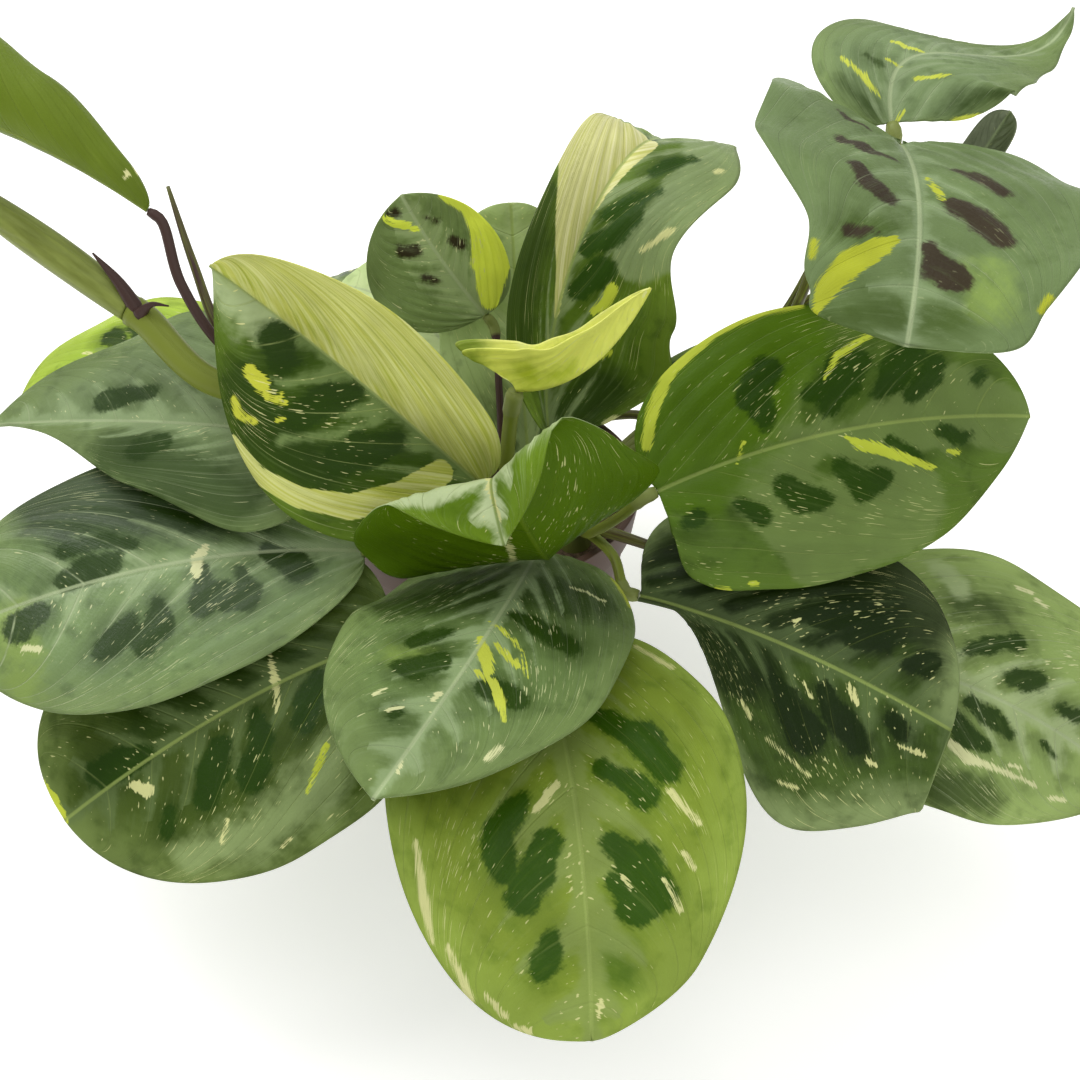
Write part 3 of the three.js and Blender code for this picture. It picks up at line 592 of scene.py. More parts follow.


# Among each leaf's marks, the broad soft zones of darker green are painted shade where the leaf
# lies in shadow, and the zones of brighter or more saturated green are painted light where light
# falls on or shines through it.
leaves = dict(
    front_low=dict(
        family="green", rib=((6, -56, 82), (14, -109, 82), (17, -150, 56)), face=(0.05, -0.4, 0.9),
        half=(42, 39), power=((0.85, 0.85), (1, 1.05)), edge=((1, 1), (1, 1, 1, 0.9, 0.5)),
        point=0.0, sideVeins=6.5, paleWidth=4.5, tongueWidth=3.2, tongueReach=0.55,
        marks=(
            ("dark", (590, 715, 2.5), (640, 735, 4.5), (665, 765, 4)),
            ("dark", (600, 768, 2.5), (648, 795, 3.6)),
            ("dark", (612, 840, 2.4), (640, 866, 5.2), (660, 896, 4.4)),
            ("dark", (615, 882, 2.5), (632, 908, 4)),
            ("dark", (520, 800, 2.5), (498, 838, 4), (505, 872, 3.6)),
            ("dark", (550, 842, 3), (535, 870, 4.6), (520, 898, 4)),
            ("dark", (556, 935, 1.8), (548, 955, 3.2), (540, 974, 2.6)),
            ("deepGreenAndShade", (610, 950, 2.5), (626, 972, 3)), ("pale", (588, 740, 1.2), (618, 750, 0.3)),
            ("pale", (588, 825, 1.6), (630, 872, 0.4)), ("pale", (548, 808, 1.4), (514, 862, 0.4)),
            ("pale", (595, 905, 2), (628, 940, 0.5)),
            ("cream", (414, 842, 0.5), (424, 900, 1.1), (435, 942, 0.5)),
            ("cream", (449, 945, 0.6), (470, 998, 1)), ("cream", (485, 995, 0.4), (505, 1016, 0.6)),
            ("cream", (514, 1025, 0.6), (528, 1032, 0.8)),
            ("cream", (558, 780, 0.6), (546, 796, 1.1), (535, 813, 0.6)),
            ("cream", (672, 790, 0.9), (698, 822, 0.7)),
            ("cream", (634, 646, 0.5), (672, 668, 0.8)),
            ("cream", (664, 878, 0.6), (682, 910, 0.5)),
            ("cream", (685, 854, 0.6), (696, 869, 0.5)),
            ("cream", (623, 878, 0.5), (632, 888, 0.4)),
            ("cream", (600, 1004, 0.7), (598, 1014, 0.5)),
        ),
        tints=dict(base="#7e9230", edge="#92a848", dark="#2c4e00", pale="#869850", deepGreenAndShade="#466610"),
        finish=dict(halo=0.25)),
    front_middle=dict(
        family="silver", rib=((5, -32, 92), (-8, -78, 103), (-29, -121, 100)), face=(0, -0.3, 0.95),
        half=(33, 36), fold=((-16, 8), (0, 8)), power=((0.6, 1.05), (0.85, 1.45)), lobe=(0.3, 0.14),
        edge=((1.1, 1, 1), (1.02, 0.97, 0.88, 0.84, 0.84)), sideVeins=7, paleWidth=2.5,
        marks=(
            ("dark", (446, 633, 2), (412, 642, 2.6)),
            ("dark", (438, 662, 3), (412, 668, 4), (400, 666, 2.5)),
            ("dark", (515, 615, 2), (545, 630, 3.6), (570, 646, 3)),
            ("dark", (486, 688, 3), (505, 696, 4), (518, 702, 2.6)),
            ("dark", (394, 715, 2.2), (398, 712, 2)),
            ("deepGreenAndShade", (400, 605, 8), (490, 592, 9), (590, 600, 8)),
            ("deepGreenAndShade", (420, 655, 6), (425, 656, 6)), ("litGreen", (415, 652, 2.5), (395, 655, 2)),
            ("lime", (480, 638, 0.6), (484, 656, 1.8), (487, 672, 1.2)),
            ("lime", (490, 622, 0.4), (506, 634, 0.5), (520, 650, 0.4), (527, 675, 0.3)),
            ("lime", (497, 644, 0.7), (505, 656, 0.9), (517, 668, 0.9)),
            ("lime", (477, 672, 0.6), (494, 684, 1.1), (500, 702, 1.2), (502, 722, 0.5)),
            ("cream", (432, 702, 0.6), (441, 692, 0.6)),
            ("cream", (485, 757, 0.7), (500, 747, 0.7)),
            ("cream", (389, 709, 0.5), (400, 709, 0.6)),
            ("cream", (375, 695, 0.5), (386, 690, 0.5)),
            ("cream", (402, 760, 0.4), (397, 772, 0.5)),
            ("lime", (614, 578, 0.6), (624, 588, 0.9), (633, 606, 0.6)),
            ("cream", (570, 588, 0.4), (605, 600, 0.5)),
        )),
    front_cupped=dict(
        family="green", rib=((6, -26, 104), (6, -50, 108), (-3, -55, 132), (-2, -67, 124)),
        face=(-0.3, 0.5, 1), half=(38, 36), fold=((14, -4), (20, 32)), curl=((-6, -6), (-6, -10)),
        wave=1, belly=(1.25, 1.25), power=((1.1, 0.8), (1.6, 1.1)), lobe=(0, 0), point=0.15,
        edge=((1, 1, 1.05, 1.1, 1.12, 1, 1), (1, 1, 1, 0.98, 0.86, 0.9, 1)),
        marks=(
            ("deepGreenAndShade", (370, 540, 8), (420, 560, 8), (500, 560, 6)),
            ("pale", (372, 505, 2.6), (430, 492, 3), (500, 478, 3.4), (590, 425, 3)),
            ("pale", (505, 490, 4), (505, 535, 3)), ("cream", (500, 520, 0.6), (504, 540, 1)),
        ),
        tints=dict(base="#587612", pale="#bccb9a", edge="#6c8a1c", deepGreenAndShade="#4c6a06", under="#4e6c04",
                   vein="#66801c"),
        finish=dict(veinLine=0.35, paleShare=0.95)),
    left_low=dict(
        family="green", rib=((-30, -53, 83), (-69, -69, 74), (-110, -87, 53)),
        face=(-0.1, -0.5, 0.85), half=(38, 44), power=((0.85, 0.55), (0.85, 0.95)),
        edge=((1, 1), (1, 0.97, 0.94, 0.94, 0.95)), sideVeins=7,
        marks=(
            ("dark", (318, 674, 2.5), (308, 700, 4), (304, 725, 3)),
            ("dark", (222, 748, 3), (212, 775, 4.5), (208, 798, 3)),
            ("dark", (256, 714, 2), (262, 742, 3.6), (250, 778, 4)),
            ("dark", (148, 752, 2.5), (120, 763, 4.5), (98, 776, 4)),
            ("dark", (168, 808, 1.6), (166, 832, 2)), ("deepGreenAndShade", (300, 660, 7), (150, 715, 8)),
            ("pale", (236, 735, 0.8), (238, 780, 0.4)), ("cream", (134, 786, 1), (148, 790, 1.7)),
            ("cream", (270, 655, 0.4), (274, 680, 1), (278, 710, 0.5)),
            ("lime", (325, 745, 0.6), (316, 770, 0.8), (309, 792, 0.5)),
            ("lime", (45, 782, 0.7), (52, 800, 1.2), (64, 822, 1)),
            ("cream", (228, 818, 0.4), (222, 840, 0.4)),
            ("cream", (282, 848, 0.5), (290, 838, 0.5)),
            ("litGreen", (190, 856, 3), (262, 836, 5), (318, 784, 6), (345, 745, 4)),
        ),
        tints=dict(base="#43561a", edge="#758848", pale="#5f7240", litGreen="#8a9c64", dark="#213c00"),
    ),
    left_middle=dict(
        family="silver", rib=((-39, -37, 97), (-88, -44, 98), (-138, -56, 87)),
        face=(0, -0.5, 0.85), half=(31, 35), fold=((2, 2), (8, 8)), belly=(1.1, 1.12),
        power=((0.85, 1.05), (1.2, 0.85)), edge=((1, 1), (1, 0.95, 0.97, 1.05, 1.1)), sideVeins=6,
        paleWidth=2,
        marks=(
            ("dark", (134, 545, 1.5), (100, 542, 2.6), (62, 550, 2)),
            ("dark", (112, 562, 3), (86, 572, 4), (64, 582, 3)),
            ("dark", (158, 602, 2.5), (160, 625, 3.6), (145, 640, 4)),
            ("dark", (130, 620, 2.5), (115, 640, 4), (101, 654, 2.5)),
            ("dark", (202, 572, 2.4), (205, 602, 4)),
            ("dark", (240, 572, 2), (246, 594, 4), (222, 596, 4.4)),
            ("dark", (270, 553, 3), (300, 568, 4)), ("dark", (150, 502, 3), (190, 525, 3)),
            ("dark", (40, 612, 3), (20, 626, 4.5)),
            ("deepGreenAndShade", (60, 500, 12), (170, 490, 12), (250, 505, 8)),
            ("cream", (206, 547, 0.8), (198, 560, 1.5), (197, 575, 1)),
            ("cream", (24, 648, 0.6), (36, 650, 0.8)), ("litGreen", (20, 690, 4), (10, 620, 5)),
        ),
        tints=dict(base="#728a54", deepGreenAndShade="#1f3410"),
        finish=dict(veinLine=0.75, roughness=0.36, gloss=0.45)),
    left_folded=dict(
        family="lime", rib=((-9, -36, 118), (-43, -21, 143), (-73, -7, 161)), face=(0, -0.77, 0.64),
        half=(33, 36), fold=((62, 62), (2, 2)), curl=((0, 0), (-10, -10)), belly=(0.85, 0.85),
        power=((0.85, 1.2), (1.1, 1.9)), edge=((0.7, 0.98, 1.06, 1, 1), (1, 1)), sideVeins=6,
        paleWidth=2,
        marks=(
            ("butter", "right"),
            ("butter", "left", (233, 440, 0.8), (258, 475, 2.2), (300, 497, 2.6), (350, 507, 3.2),
             (402, 495, 3.6), (440, 472, 3.2)),
            ("dark", "left", (300, 322, 2), (275, 335, 4), (284, 362, 4)),
            ("dark", "left", (352, 392, 3), (318, 404, 4.6), (298, 418, 4)),
            ("dark", "left", (396, 440, 3), (360, 452, 5), (335, 462, 4)),
            ("deepGreenAndShade", "left", (240, 380, 6), (260, 430, 8), (320, 470, 6)),
            ("litGreen", "left", (232, 275, 6), (262, 300, 7)),
            ("pale", "left", (283, 383, 0.8), (335, 373, 0.4)),
            ("pale", "left", (282, 437, 0.5), (340, 436, 0.8), (388, 418, 0.4)),
            ("lime", "left", (248, 370, 1.6), (262, 382, 2)),
            ("lime", "left", (232, 400, 0.8), (240, 416, 1), (256, 424, 0.8)),
            ("lime", "left", (266, 394, 0.6), (282, 393, 0.6)),
            ("lime", "left", (268, 400, 0.5), (286, 404, 0.6)),
            ("lime", "left", (277, 419, 0.5), (284, 421, 0.5)),
        ),
        tints=dict(pale="#7d9356", litGreen="#b4c492"), finish=dict(veinLine=0.6)),
    left_high=dict(
        family="silver", rib=((-50, -16, 117), (-94, -11, 118), (-139, 1, 108)), face=(0, -0.2, 1),
        half=(35, 33), fold=((4, 8), (-8, 8)), belly=(0.8, 0.65), power=((0.85, 1.2), (0.85, 3)),
        edge=((1, 1.4, 1.2, 1, 1), (0.95, 0.9, 0.72, 0.45, 0.4)), sideVeins=7,
        marks=(
            ("dark", (150, 392, 2.6), (110, 398, 4)),
            ("deepGreenAndShade", (190, 480, 9), (120, 452, 8), (230, 500, 8)),
            ("dark", (165, 440, 2.5), (140, 452, 3.6)),
        ),
        tints=dict(base="#788c5c", deepGreenAndShade="#33481a"), finish=dict(veinLine=0.4)),
    left_back=dict(
        family="lime", rib=((-77, 30, 105), (-112, 44, 98), (-149, 42, 81)), face=(0, -0.1, 1),
        half=(30, 30), power=((0.85, 1.6), (0.85, 1.6)), blotches=2, seed=5,
        tints=dict(base="#a2c03c", edge="#aec64a")),
    left_furled=dict(
        family="lime", rib=((-90, 9, 167), (-122, 20, 182), (-156, 32, 189)), face=(0.5, 0.5, 0.2),
        half=(40, 40), fold=((0, 0), (0, 0)), curl=((160, 160), (160, 160)), furled=True,
        belly=(1.3, 1.3), lobe=(0, 0), power=((0.75, 0.9), (0.75, 0.9)), wave=0.15,
        edge=((0.42, 0.48, 0.62, 0.88, 1.15), (0.42, 0.48, 0.62, 0.88, 1.15)), blotches=2, seed=6,
        tints=dict(under="#63761f", vein="#7c8c34"), finish=dict(specks=0.0)),
    middle_tall=dict(
        family="green", rib=((8, -5, 112), (12, 14, 142), (26, 34, 165), (42, 74, 152)),
        face=(0.15, -0.35, 0.9), half=(33, 22), fold=((8, 30), (60, -10)),
        curl=((-14, -14), (-30, -30)), belly=(1.3, 0.95), power=((0.5, 0.5), (0.85, 1)),
        edge=((1, 1.17, 1.35, 1.05, 0.75, 0.9, 0.74, 0.5, 0.5), (0.8, 0.85, 0.62, 0.88, 0.9)),
        paleWidth=1.5,
        marks=(
            ("dark", "right", (650, 138, 2), (652, 141, 2)),
            ("dark", "right", (655, 172, 2.2), (672, 165, 3), (690, 160, 2.2)),
            ("dark", "right", (602, 216, 2), (630, 205, 3), (655, 194, 2)),
            ("dark", "right", (588, 247, 2.4), (612, 234, 3.6), (635, 218, 2.6)),
            ("dark", "right", (582, 290, 3), (604, 270, 4)),
            ("lime", "right", (595, 312, 1), (606, 305, 1.4), (614, 290, 1.6)),
            ("pale", "right", (640, 255, 7), (680, 225, 10), (715, 175, 9), (700, 140, 5)),
            ("cream", "right", (643, 250, 0.6), (672, 230, 0.9)),
            ("cream", "right", (716, 172, 1), (722, 170, 0.9)),
            ("cream", "right", (606, 424, 1), (618, 420, 1.2)),
            ("lime", "right", (602, 358, 0.7), (608, 353, 0.8)),
            ("deepGreenAndShade", "right", (600, 390, 8), (570, 440, 9)),
            ("deepGreenAndShade", "left", (512, 340, 8), (530, 250, 6), (550, 190, 3)),
            ("butter", "left", (557, 318, 0.6), (565, 262, 2.4), (575, 210, 5), (594, 162, 9),
             (620, 132, 11)),
        ),
        tints=dict(pale="#8b9c6c")),
    middle_new=dict(
        family="lime", rib=((0, -11, 128), (18, -10, 134), (33, -4, 153)), face=(0, 0.1, 1),
        half=(12, 12), fold=((80, 80), (75, 75)), curl=((5, 5), (5, 5)), belly=(0.6, 0.6),
        lobe=(1.5, 1.7), wave=0.5, grid=0.7,
        marks=(
            ("deepGreenAndShade", (466, 340, 4), (474, 362, 3.5)), ("litGreen", (520, 372, 1.5), (570, 372, 1.5)),
            ("pale", (520, 345, 1), (600, 325, 1)),
        ),
        # its colours are the new leaf's own lime yellow made paler and brighter, as painted light
        # that lifts the shade it stands in
        tints=dict(base="#f4f86c", edge="#f8fa9a", pale="#fafcb0", under="#f4f878", vein="#e2ea62",
                   deepGreenAndShade="#6c8a1c", litGreen="#b4c61c")),
    middle_back=dict(
        family="green", rib=((3, 6, 91), (0, 34, 118), (-2, 54, 145)), face=(0, -0.77, 0.64),
        half=(19, 22), power=((0.85, 0.8), (0.85, 0.8)), point=0, grid=1,
        marks=(
            ("deepGreenAndShade", (500, 470, 9), (545, 455, 9), (520, 420, 8)),
            ("cream", (505, 465, 0.5), (514, 467, 0.5)),
        ),
        # its colours are lighter than the leaf's own, as painted light that lifts the shade inside
        # the plant
        tints=dict(base="#93a868", pale="#a4b67c", edge="#98ac6c")),
    middle_small=dict(
        family="silver", rib=((-9, 30, 124), (-21, 31, 142), (-30, 34, 158)),
        face=(-0.1, -0.8, 0.6), half=(16, 21), power=((0.85, 1.05), (1.25, 1.05)),
        lobe=(0.1, -0.05), wave=0.8, grid=0.8, slot="leaf_lime", paleWidth=1.5,
        marks=(
            ("dark", (402, 250, 1.6), (414, 250, 1.6)), ("dark", (424, 277, 1.3), (436, 279, 1.3)),
            ("dark", (455, 240, 1.6), (460, 243, 1.6)), ("dark", (426, 217, 0.9), (436, 220, 1)),
            ("dark", (390, 214, 1.2), (396, 212, 1.2)),
            ("lime", "left", (385, 218, 0.7), (400, 226, 0.9), (418, 228, 0.8)),
            ("lime", "right", (490, 300, 2.6), (492, 262, 5.6), (488, 228, 4.6), (470, 204, 2.2),
             (440, 195, 0.8)),
        ),
        tints=dict(dark="#2e2416", base="#7c9256", pale="#9cae78", lime="#dfec50"),
        finish=dict(veinLine=0.5, halo=0.2)),
    right_middle=dict(
        family="green", rib=((35, -32, 112), (80, -22, 123), (127, -20, 126)),
        face=(0.05, -0.6, 0.8), half=(37, 34), power=((0.5, 1.2), (1, 0.9)), lobe=(0.24, 0.14),
        edge=((1.2, 1.05, 1, 0.98, 0.96, 0.88, 0.85), (1, 1, 1, 0.93, 0.85)), sideVeins=7,
        paleWidth=2.5, tongueReach=0.4,
        marks=(
            ("dark", (765, 420, 3), (752, 395, 4), (768, 372, 4)),
            ("dark", (808, 398, 2), (826, 384, 3), (842, 362, 4)),
            ("dark", (826, 412, 2), (846, 384, 4), (860, 362, 3)),
            ("dark", (880, 392, 2.4), (896, 370, 4.4), (910, 352, 3.6)),
            ("dark", (912, 396, 1.6), (928, 378, 3.4), (936, 362, 2.6)),
            ("dark", (975, 378, 2.2), (982, 374, 2.2)), ("dark", (690, 522, 2.2), (700, 520, 2.2)),
            ("dark", (738, 506, 2.4), (760, 514, 2.8)),
            ("dark", (786, 485, 3), (802, 498, 4), (824, 500, 2.6)),
            ("dark", (842, 466, 2.6), (866, 484, 4.2), (884, 476, 3.4)),
            ("dark", (892, 440, 1), (918, 456, 1.8)), ("dark", (944, 432, 2.2), (962, 436, 2.6)),
            ("litGreen", (680, 440, 20), (720, 380, 18), (760, 340, 16)),
            ("deepGreenAndShade", (700, 400, 5), (712, 392, 5)),
            ("pale", (862, 440, 6), (960, 405, 10), (1000, 420, 8)),
            ("pale", (800, 450, 6), (760, 490, 9), (820, 540, 12), (900, 500, 12)),
            ("pale", (826, 448, 1.6), (850, 420, 0.6)), ("pale", (788, 428, 2), (806, 360, 0.6)),
            ("lime", (845, 436, 0.5), (862, 444, 1.6), (892, 456, 1.6), (935, 468, 0.6)),
            ("lime", (824, 380, 0.3), (838, 356, 0.9), (872, 334, 0.8)),
            ("lime", (646, 446, 1.2), (652, 412, 1.4), (672, 368, 1.6), (710, 334, 1.2),
             (760, 312, 1), (800, 302, 0.8)),
            ("lime", (716, 600, 0.5), (728, 602, 0.6)), ("lime", (750, 582, 0.5), (758, 583, 0.6)),
            ("lime", (950, 452, 0.6), (958, 454, 0.7)), ("lime", (736, 462, 0.4), (744, 444, 0.5)),
        ),
        tints=dict(base="#546e26", litGreen="#4c6c00", dark="#244000", pale="#708448", edge="#5f7a2a"),
        finish=dict(veinLine=0.35)),
    right_low=dict(
        family="green", rib=((31, -45, 89), (66, -61, 87), (106, -74, 71)), face=(0.1, -0.5, 0.85),
        half=(43, 34), belly=(1.5, 0.95), power=((4, 0.15), (0.75, 0.9)), lobe=(0, 0.3),
        edge=((1, 1, 1, 0.9, 0.9), (1, 1, 1, 1.05, 1.05)), sideVeins=7, paleWidth=2.5,
        marks=(
            ("dark", (812, 620, 2.2), (845, 615, 4.5), (870, 622, 5)),
            ("dark", (850, 640, 2.4), (880, 636, 3.6)), ("dark", (912, 664, 2.6), (928, 664, 3.6)),
            ("dark", (776, 680, 2), (786, 700, 3.6), (806, 735, 5)),
            ("dark", (822, 690, 2.4), (834, 712, 3.6), (856, 740, 4)),
            ("dark", (894, 722, 2.6), (902, 732, 2.8)),
            ("deepGreenAndShade", (680, 590, 14), (760, 600, 17), (860, 590, 16), (920, 600, 12)),
            ("deepGreenAndShade", (700, 640, 11), (745, 660, 11)), ("cream", (848, 684, 0.8), (858, 704, 0.7)),
            ("cream", (780, 780, 0.3), (796, 786, 0.5)),
            ("cream", (896, 746, 0.3), (924, 756, 0.6)),
            ("cream", (804, 684, 0.3), (810, 696, 0.4)),
            ("cream", (740, 700, 0.3), (752, 720, 0.4)),
            ("cream", (765, 738, 0.2), (810, 774, 0.4)),
            ("cream", (792, 626, 0.4), (800, 622, 0.5)),
            ("cream", (868, 762, 0.6), (876, 766, 0.6)),
        ),
        # this leaf lies under right_middle: its base, blotch and zone colours are darker than the
        # leaf's own as painted shade, and its broad dark zones are painted shade too
        tints=dict(base="#42581e", pale="#66794a", edge="#93a56c", dark="#142600", deepGreenAndShade="#102000"),
        finish=dict(halo=0.5, paleShare=0.5, veinLine=0.15)),
    right_outer=dict(
        family="silver", rib=((80, -52, 77), (118, -62, 71), (151, -82, 59)),
        face=(0.2, -0.45, 0.88), half=(33, 37), fold=((0, 0), (8, 8)),
        power=((0.85, 1.05), (0.85, 1.2)), sideVeins=7, paleWidth=3,
        marks=(
            ("dark", (968, 652, 1.6), (990, 646, 2.4), (1016, 642, 2.6)),
            ("dark", (1010, 678, 2.4), (1034, 678, 3.2)),
            ("dark", (948, 716, 2), (962, 736, 3.4), (985, 744, 2)),
            ("dark", (972, 702, 2), (988, 718, 3.2), (1006, 734, 2)),
            ("dark", (1042, 744, 0.8), (1056, 756, 1)),
            ("dark", (1062, 712, 1.6), (1078, 716, 1.8)), ("deepGreenAndShade", (960, 600, 4), (1000, 610, 3)),
            ("deepGreenAndShade", (940, 790, 6), (980, 800, 5)),
            ("cream", (948, 742, 1), (968, 760, 1.6), (984, 762, 0.9), (1034, 786, 0.5)),
            ("cream", (1018, 588, 0.5), (1030, 594, 0.8)),
            ("cream", (1036, 602, 0.4), (1044, 606, 0.4)),
            ("cream", (1052, 797, 0.6), (1062, 800, 0.6)),
            ("cream", (1010, 764, 0.5), (1022, 766, 0.5)), ("pale", (940, 566, 2), (960, 590, 2)),
        ),
        tints=dict(base="#8ca25c", pale="#aabb86", edge="#9ab066"), finish=dict(veinLine=0.5)),
    right_high=dict(
        family="silver", rib=((85, -18, 198), (80, -62, 206), (72, -100, 199)), face=(0.1, -0.1, 1),
        half=(32, 37), fold=((23, 8), (8, 8)), belly=(0.7, 0.95), lobe=(1.1, 0.14),
        power=((0.6, 0.4), (0.85, 0.6)),
        edge=((1.15, 0.95, 1, 1.12, 0.8, 0.95, 1.4), (1, 1, 0.93, 0.85, 1.25)), sideVeins=6,
        paleWidth=1.6, tongueWidth=1.4,
        tints=dict(base="#667a4a", dark="#352a1c", edge="#6f8452", pale="#82956a", deepGreenAndShade="#43581e",
                   lime="#aab22e"),
        marks=(
            ("dark", (868, 128, 0.7), (852, 120, 1.6), (842, 114, 1.2)),
            ("dark", (895, 160, 0.6), (868, 148, 2.2), (842, 141, 2)),
            ("dark", (888, 198, 2.4), (872, 184, 3.2), (858, 168, 2.2)),
            ("dark", (946, 168, 0.5), (975, 176, 1.6), (1006, 192, 2)),
            ("dark", (950, 200, 2.2), (975, 216, 4), (1002, 238, 3)),
            ("dark", (932, 248, 2), (940, 268, 4), (955, 280, 3.6)),
            ("dark", (866, 230, 1.2), (852, 232, 1.6)), ("deepGreenAndShade", (890, 224, 1), (850, 228, 3)),
            ("lime", (898, 240, 0.8), (880, 248, 2.2), (850, 262, 2.8), (826, 288, 2),
             (810, 322, 0.6)),
            ("lime", (928, 178, 0.3), (938, 192, 0.9), (944, 200, 0.4)),
            ("lime", (815, 242, 0.8), (812, 256, 0.7)),
            ("lime", (1042, 312, 0.6), (1052, 298, 0.8)), ("litGreen", (985, 270, 2), (990, 300, 3)),
            ("deepGreenAndShade", (830, 330, 3), (880, 310, 4), (950, 320, 4)),
        ),
        finish=dict(specks=0.12, halo=0.1)),
    right_top=dict(
        family="silver", rib=((85, -7, 197.6), (96, 18, 203), (121, 35, 195), (138, 46, 203)),
        face=(0, -0.15, 1), half=(30, 28), fold=((8, 20), (14, -20)), belly=(0.7, 0.95),
        power=((0.85, 1), (0.85, 1.4)),
        edge=((1, 0.95, 0.92, 0.86, 0.62, 0.3, 0.2), (0.75, 0.78, 0.86, 0.7, 0.45, 0.35, 0.3)),
        paleWidth=1.2, tongueWidth=1.2,
        marks=(
            ("lime", (893, 42, 0.8), (906, 48, 1.2), (924, 53, 0.5)),
            ("lime", (842, 58, 0.3), (862, 76, 0.7), (880, 96, 0.4)),
            ("lime", (918, 78, 0.9), (935, 76, 0.8), (952, 74, 0.3)),
            ("lime", (954, 128, 0.5), (972, 124, 1), (984, 121, 0.5)),
            ("lime", (888, 60, 0.4), (898, 66, 0.5)), ("dark", (864, 54, 0.8), (880, 64, 1.2)),
            ("lime", (905, 112, 0.4), (898, 120, 0.5)), ("deepGreenAndShade", (850, 90, 1.5), (875, 110, 1.5)),
            ("deepGreenAndShade", (960, 110, 2), (1000, 90, 3)),
        ),
        tints=dict(base="#74885a", dark="#3b4e20", pale="#8b9d72"),
        finish=dict(specks=0.1, halo=0.3)),
    right_bud=dict(
        family="silver", rib=((104, 14, 160), (113, 21, 172), (122, 28, 184)), face=(0, -0.6, 0.8),
        half=(10, 10), fold=((30, 30), (30, 30)), curl=((60, 60), (60, 60)), wave=0.3, grid=0.7,
        tints=dict(base="#7b8468", under="#7b8468", pale="#8c957a", edge="#7b8468")),
    back_left_high=dict(
        family="silver", rib=((-14, 32, 104), (-32, 50, 113), (-53, 67, 111)), face=(0, -0.3, 1),
        half=(25, 25), blotches=3, seed=11,
        marks=(("cream", (397, 316, 0.5), (410, 324, 1.2), (430, 328, 0.7)),),
        # its colours are lighter than the leaf's own, as painted light that lifts the shade inside
        # the plant
        tints=dict(base="#b8cc88", pale="#c2d296", edge="#bccf90")),
    back_middle=dict(
        family="green", rib=((18, 48, 104), (20, 95, 103), (26, 132, 72)), face=(0, 0.2, 1),
        half=(24, 31), blotches=4, seed=12, grid=1.6),
    back_right=dict(
        family="green", rib=((42, 36, 88), (82, 66, 80), (118, 92, 52)), face=(0.1, 0.1, 1),
        half=(31, 31), edge=((1, 1), (0.8, 0.72, 0.8)), blotches=4, seed=13, grid=1.6),
    back_left=dict(
        family="green", rib=((-26, 46, 98), (-52, 88, 98), (-82, 122, 68)), face=(-0.1, 0.2, 1),
        half=(31, 31), blotches=4, seed=14, grid=1.6),
)
for name, values in leaves.items():
    makeLeaf(name, **values)
print("leaf blades:", len(leaves), "triangles:", sum(triangleCounts))


# The stalks

stalk = dict(
    radius=1.35, sides=20, every=1.5, fewestSteps=12,
    jointGap=0.4, turnedGap=0.4,                    # left before the blade, more at an angle
    jointLength=8, jointSwell=0.45, jointEase=2, jointFade=1.5,
    sheathSwell=1.3, sheathShare=0.45, sheathFade=(0.4, 0.1),
    endLength=0.8, endTaper=0.35,
    ribs=3.0,                                       # fine ribs round it
)
# A crown's mm above the soil and radii
crown = dict(
    depth=12, rise=5, sides=28,
    profile=((-12, 4.2), (-11.99, 5), (-4, 5), (0, 5), (1, 4.7), (2.5, 4.1), (4.4, 3.5), (5, 2.6)),
)
shoots = dict(
    middle=(-2, -3), left=(-22, 4), front_left=(-15, -16), front=(2, -18), front_right=(15, -9),
    right=(20, 9), back=(2, 28),
)
# Each stalk's way from its crown to its blade, its radius where that isn't the usual one, the
# direction in which it meets the blade where that isn't the rib's own, how purple it is, and
# how much of a joint it has
ways = dict(
    front_low=dict(shoot="front", via=((4, -34, 87.5), (5, -46, 86))),
    front_middle=dict(shoot="front", via=()),
    front_cupped=dict(shoot="front", via=(), hue=0.3),
    left_low=dict(shoot="front_left", via=((-26, -34, 87),)),
    left_middle=dict(shoot="front_left", via=((-26, -28, 89),)),
    left_folded=dict(shoot="front_left", via=((-14, -26, 94), (-12, -36, 106))),
    left_high=dict(shoot="left", via=((-28, -4, 98), (-38, -12, 112))),
    left_back=dict(shoot="left", via=((-38, 16, 90), (-60, 24, 100))),
    left_furled=dict(
        shoot="left", via=((-30, 1, 102), (-46, -5, 125), (-70, -9, 137), (-82, -1, 152)), hue=1.0,
        joint=0.0),
    middle_tall=dict(shoot="middle", via=((3, -1, 94),)),
    middle_new=dict(
        shoot="middle", via=((-3, -6, 94), (-2, -10, 113)), radius=1.9, approach=(0.2, 0, 1),
        hue=0.1),
    middle_back=dict(shoot="middle", via=(), hue=0.2),
    middle_small=dict(shoot="middle", via=((-4, 3, 94), (-5, 15, 109)), radius=1.0, hue=0.9),
    right_middle=dict(shoot="front_right", via=((19, -24, 92), (27, -31, 104)), hue=0.25),
    right_low=dict(shoot="front_right", via=((20, -22, 89), (25, -33, 91)), hue=0.3),
    right_outer=dict(
        shoot="front_right", via=((30, -22, 88), (48, -34, 88), (66, -44, 82)), hue=0.6),
    right_high=dict(
        shoot="right",
        via=((45, 10, 104), (67, 9, 129), (73, 4, 152), (76, -2, 174), (79, -10, 186)),
        approach=(0.4, -0.4, 0.9)),
    right_top=dict(shoot="right", via=((42, 13, 103), (67, 13, 131), (79, 6, 168))),
    right_bud=dict(shoot="right", via=((40, 16, 102), (63, 19, 125), (88, 14, 147))),
    back_left_high=dict(shoot="back", via=((-5, 30, 92),)),
    back_middle=dict(shoot="back", via=((8, 34, 90), (13, 42, 99))),
    back_right=dict(shoot="back", via=((18, 33, 86), (31, 34, 88))),
    back_left=dict(shoot="back", via=((-9, 34, 90),)),
)


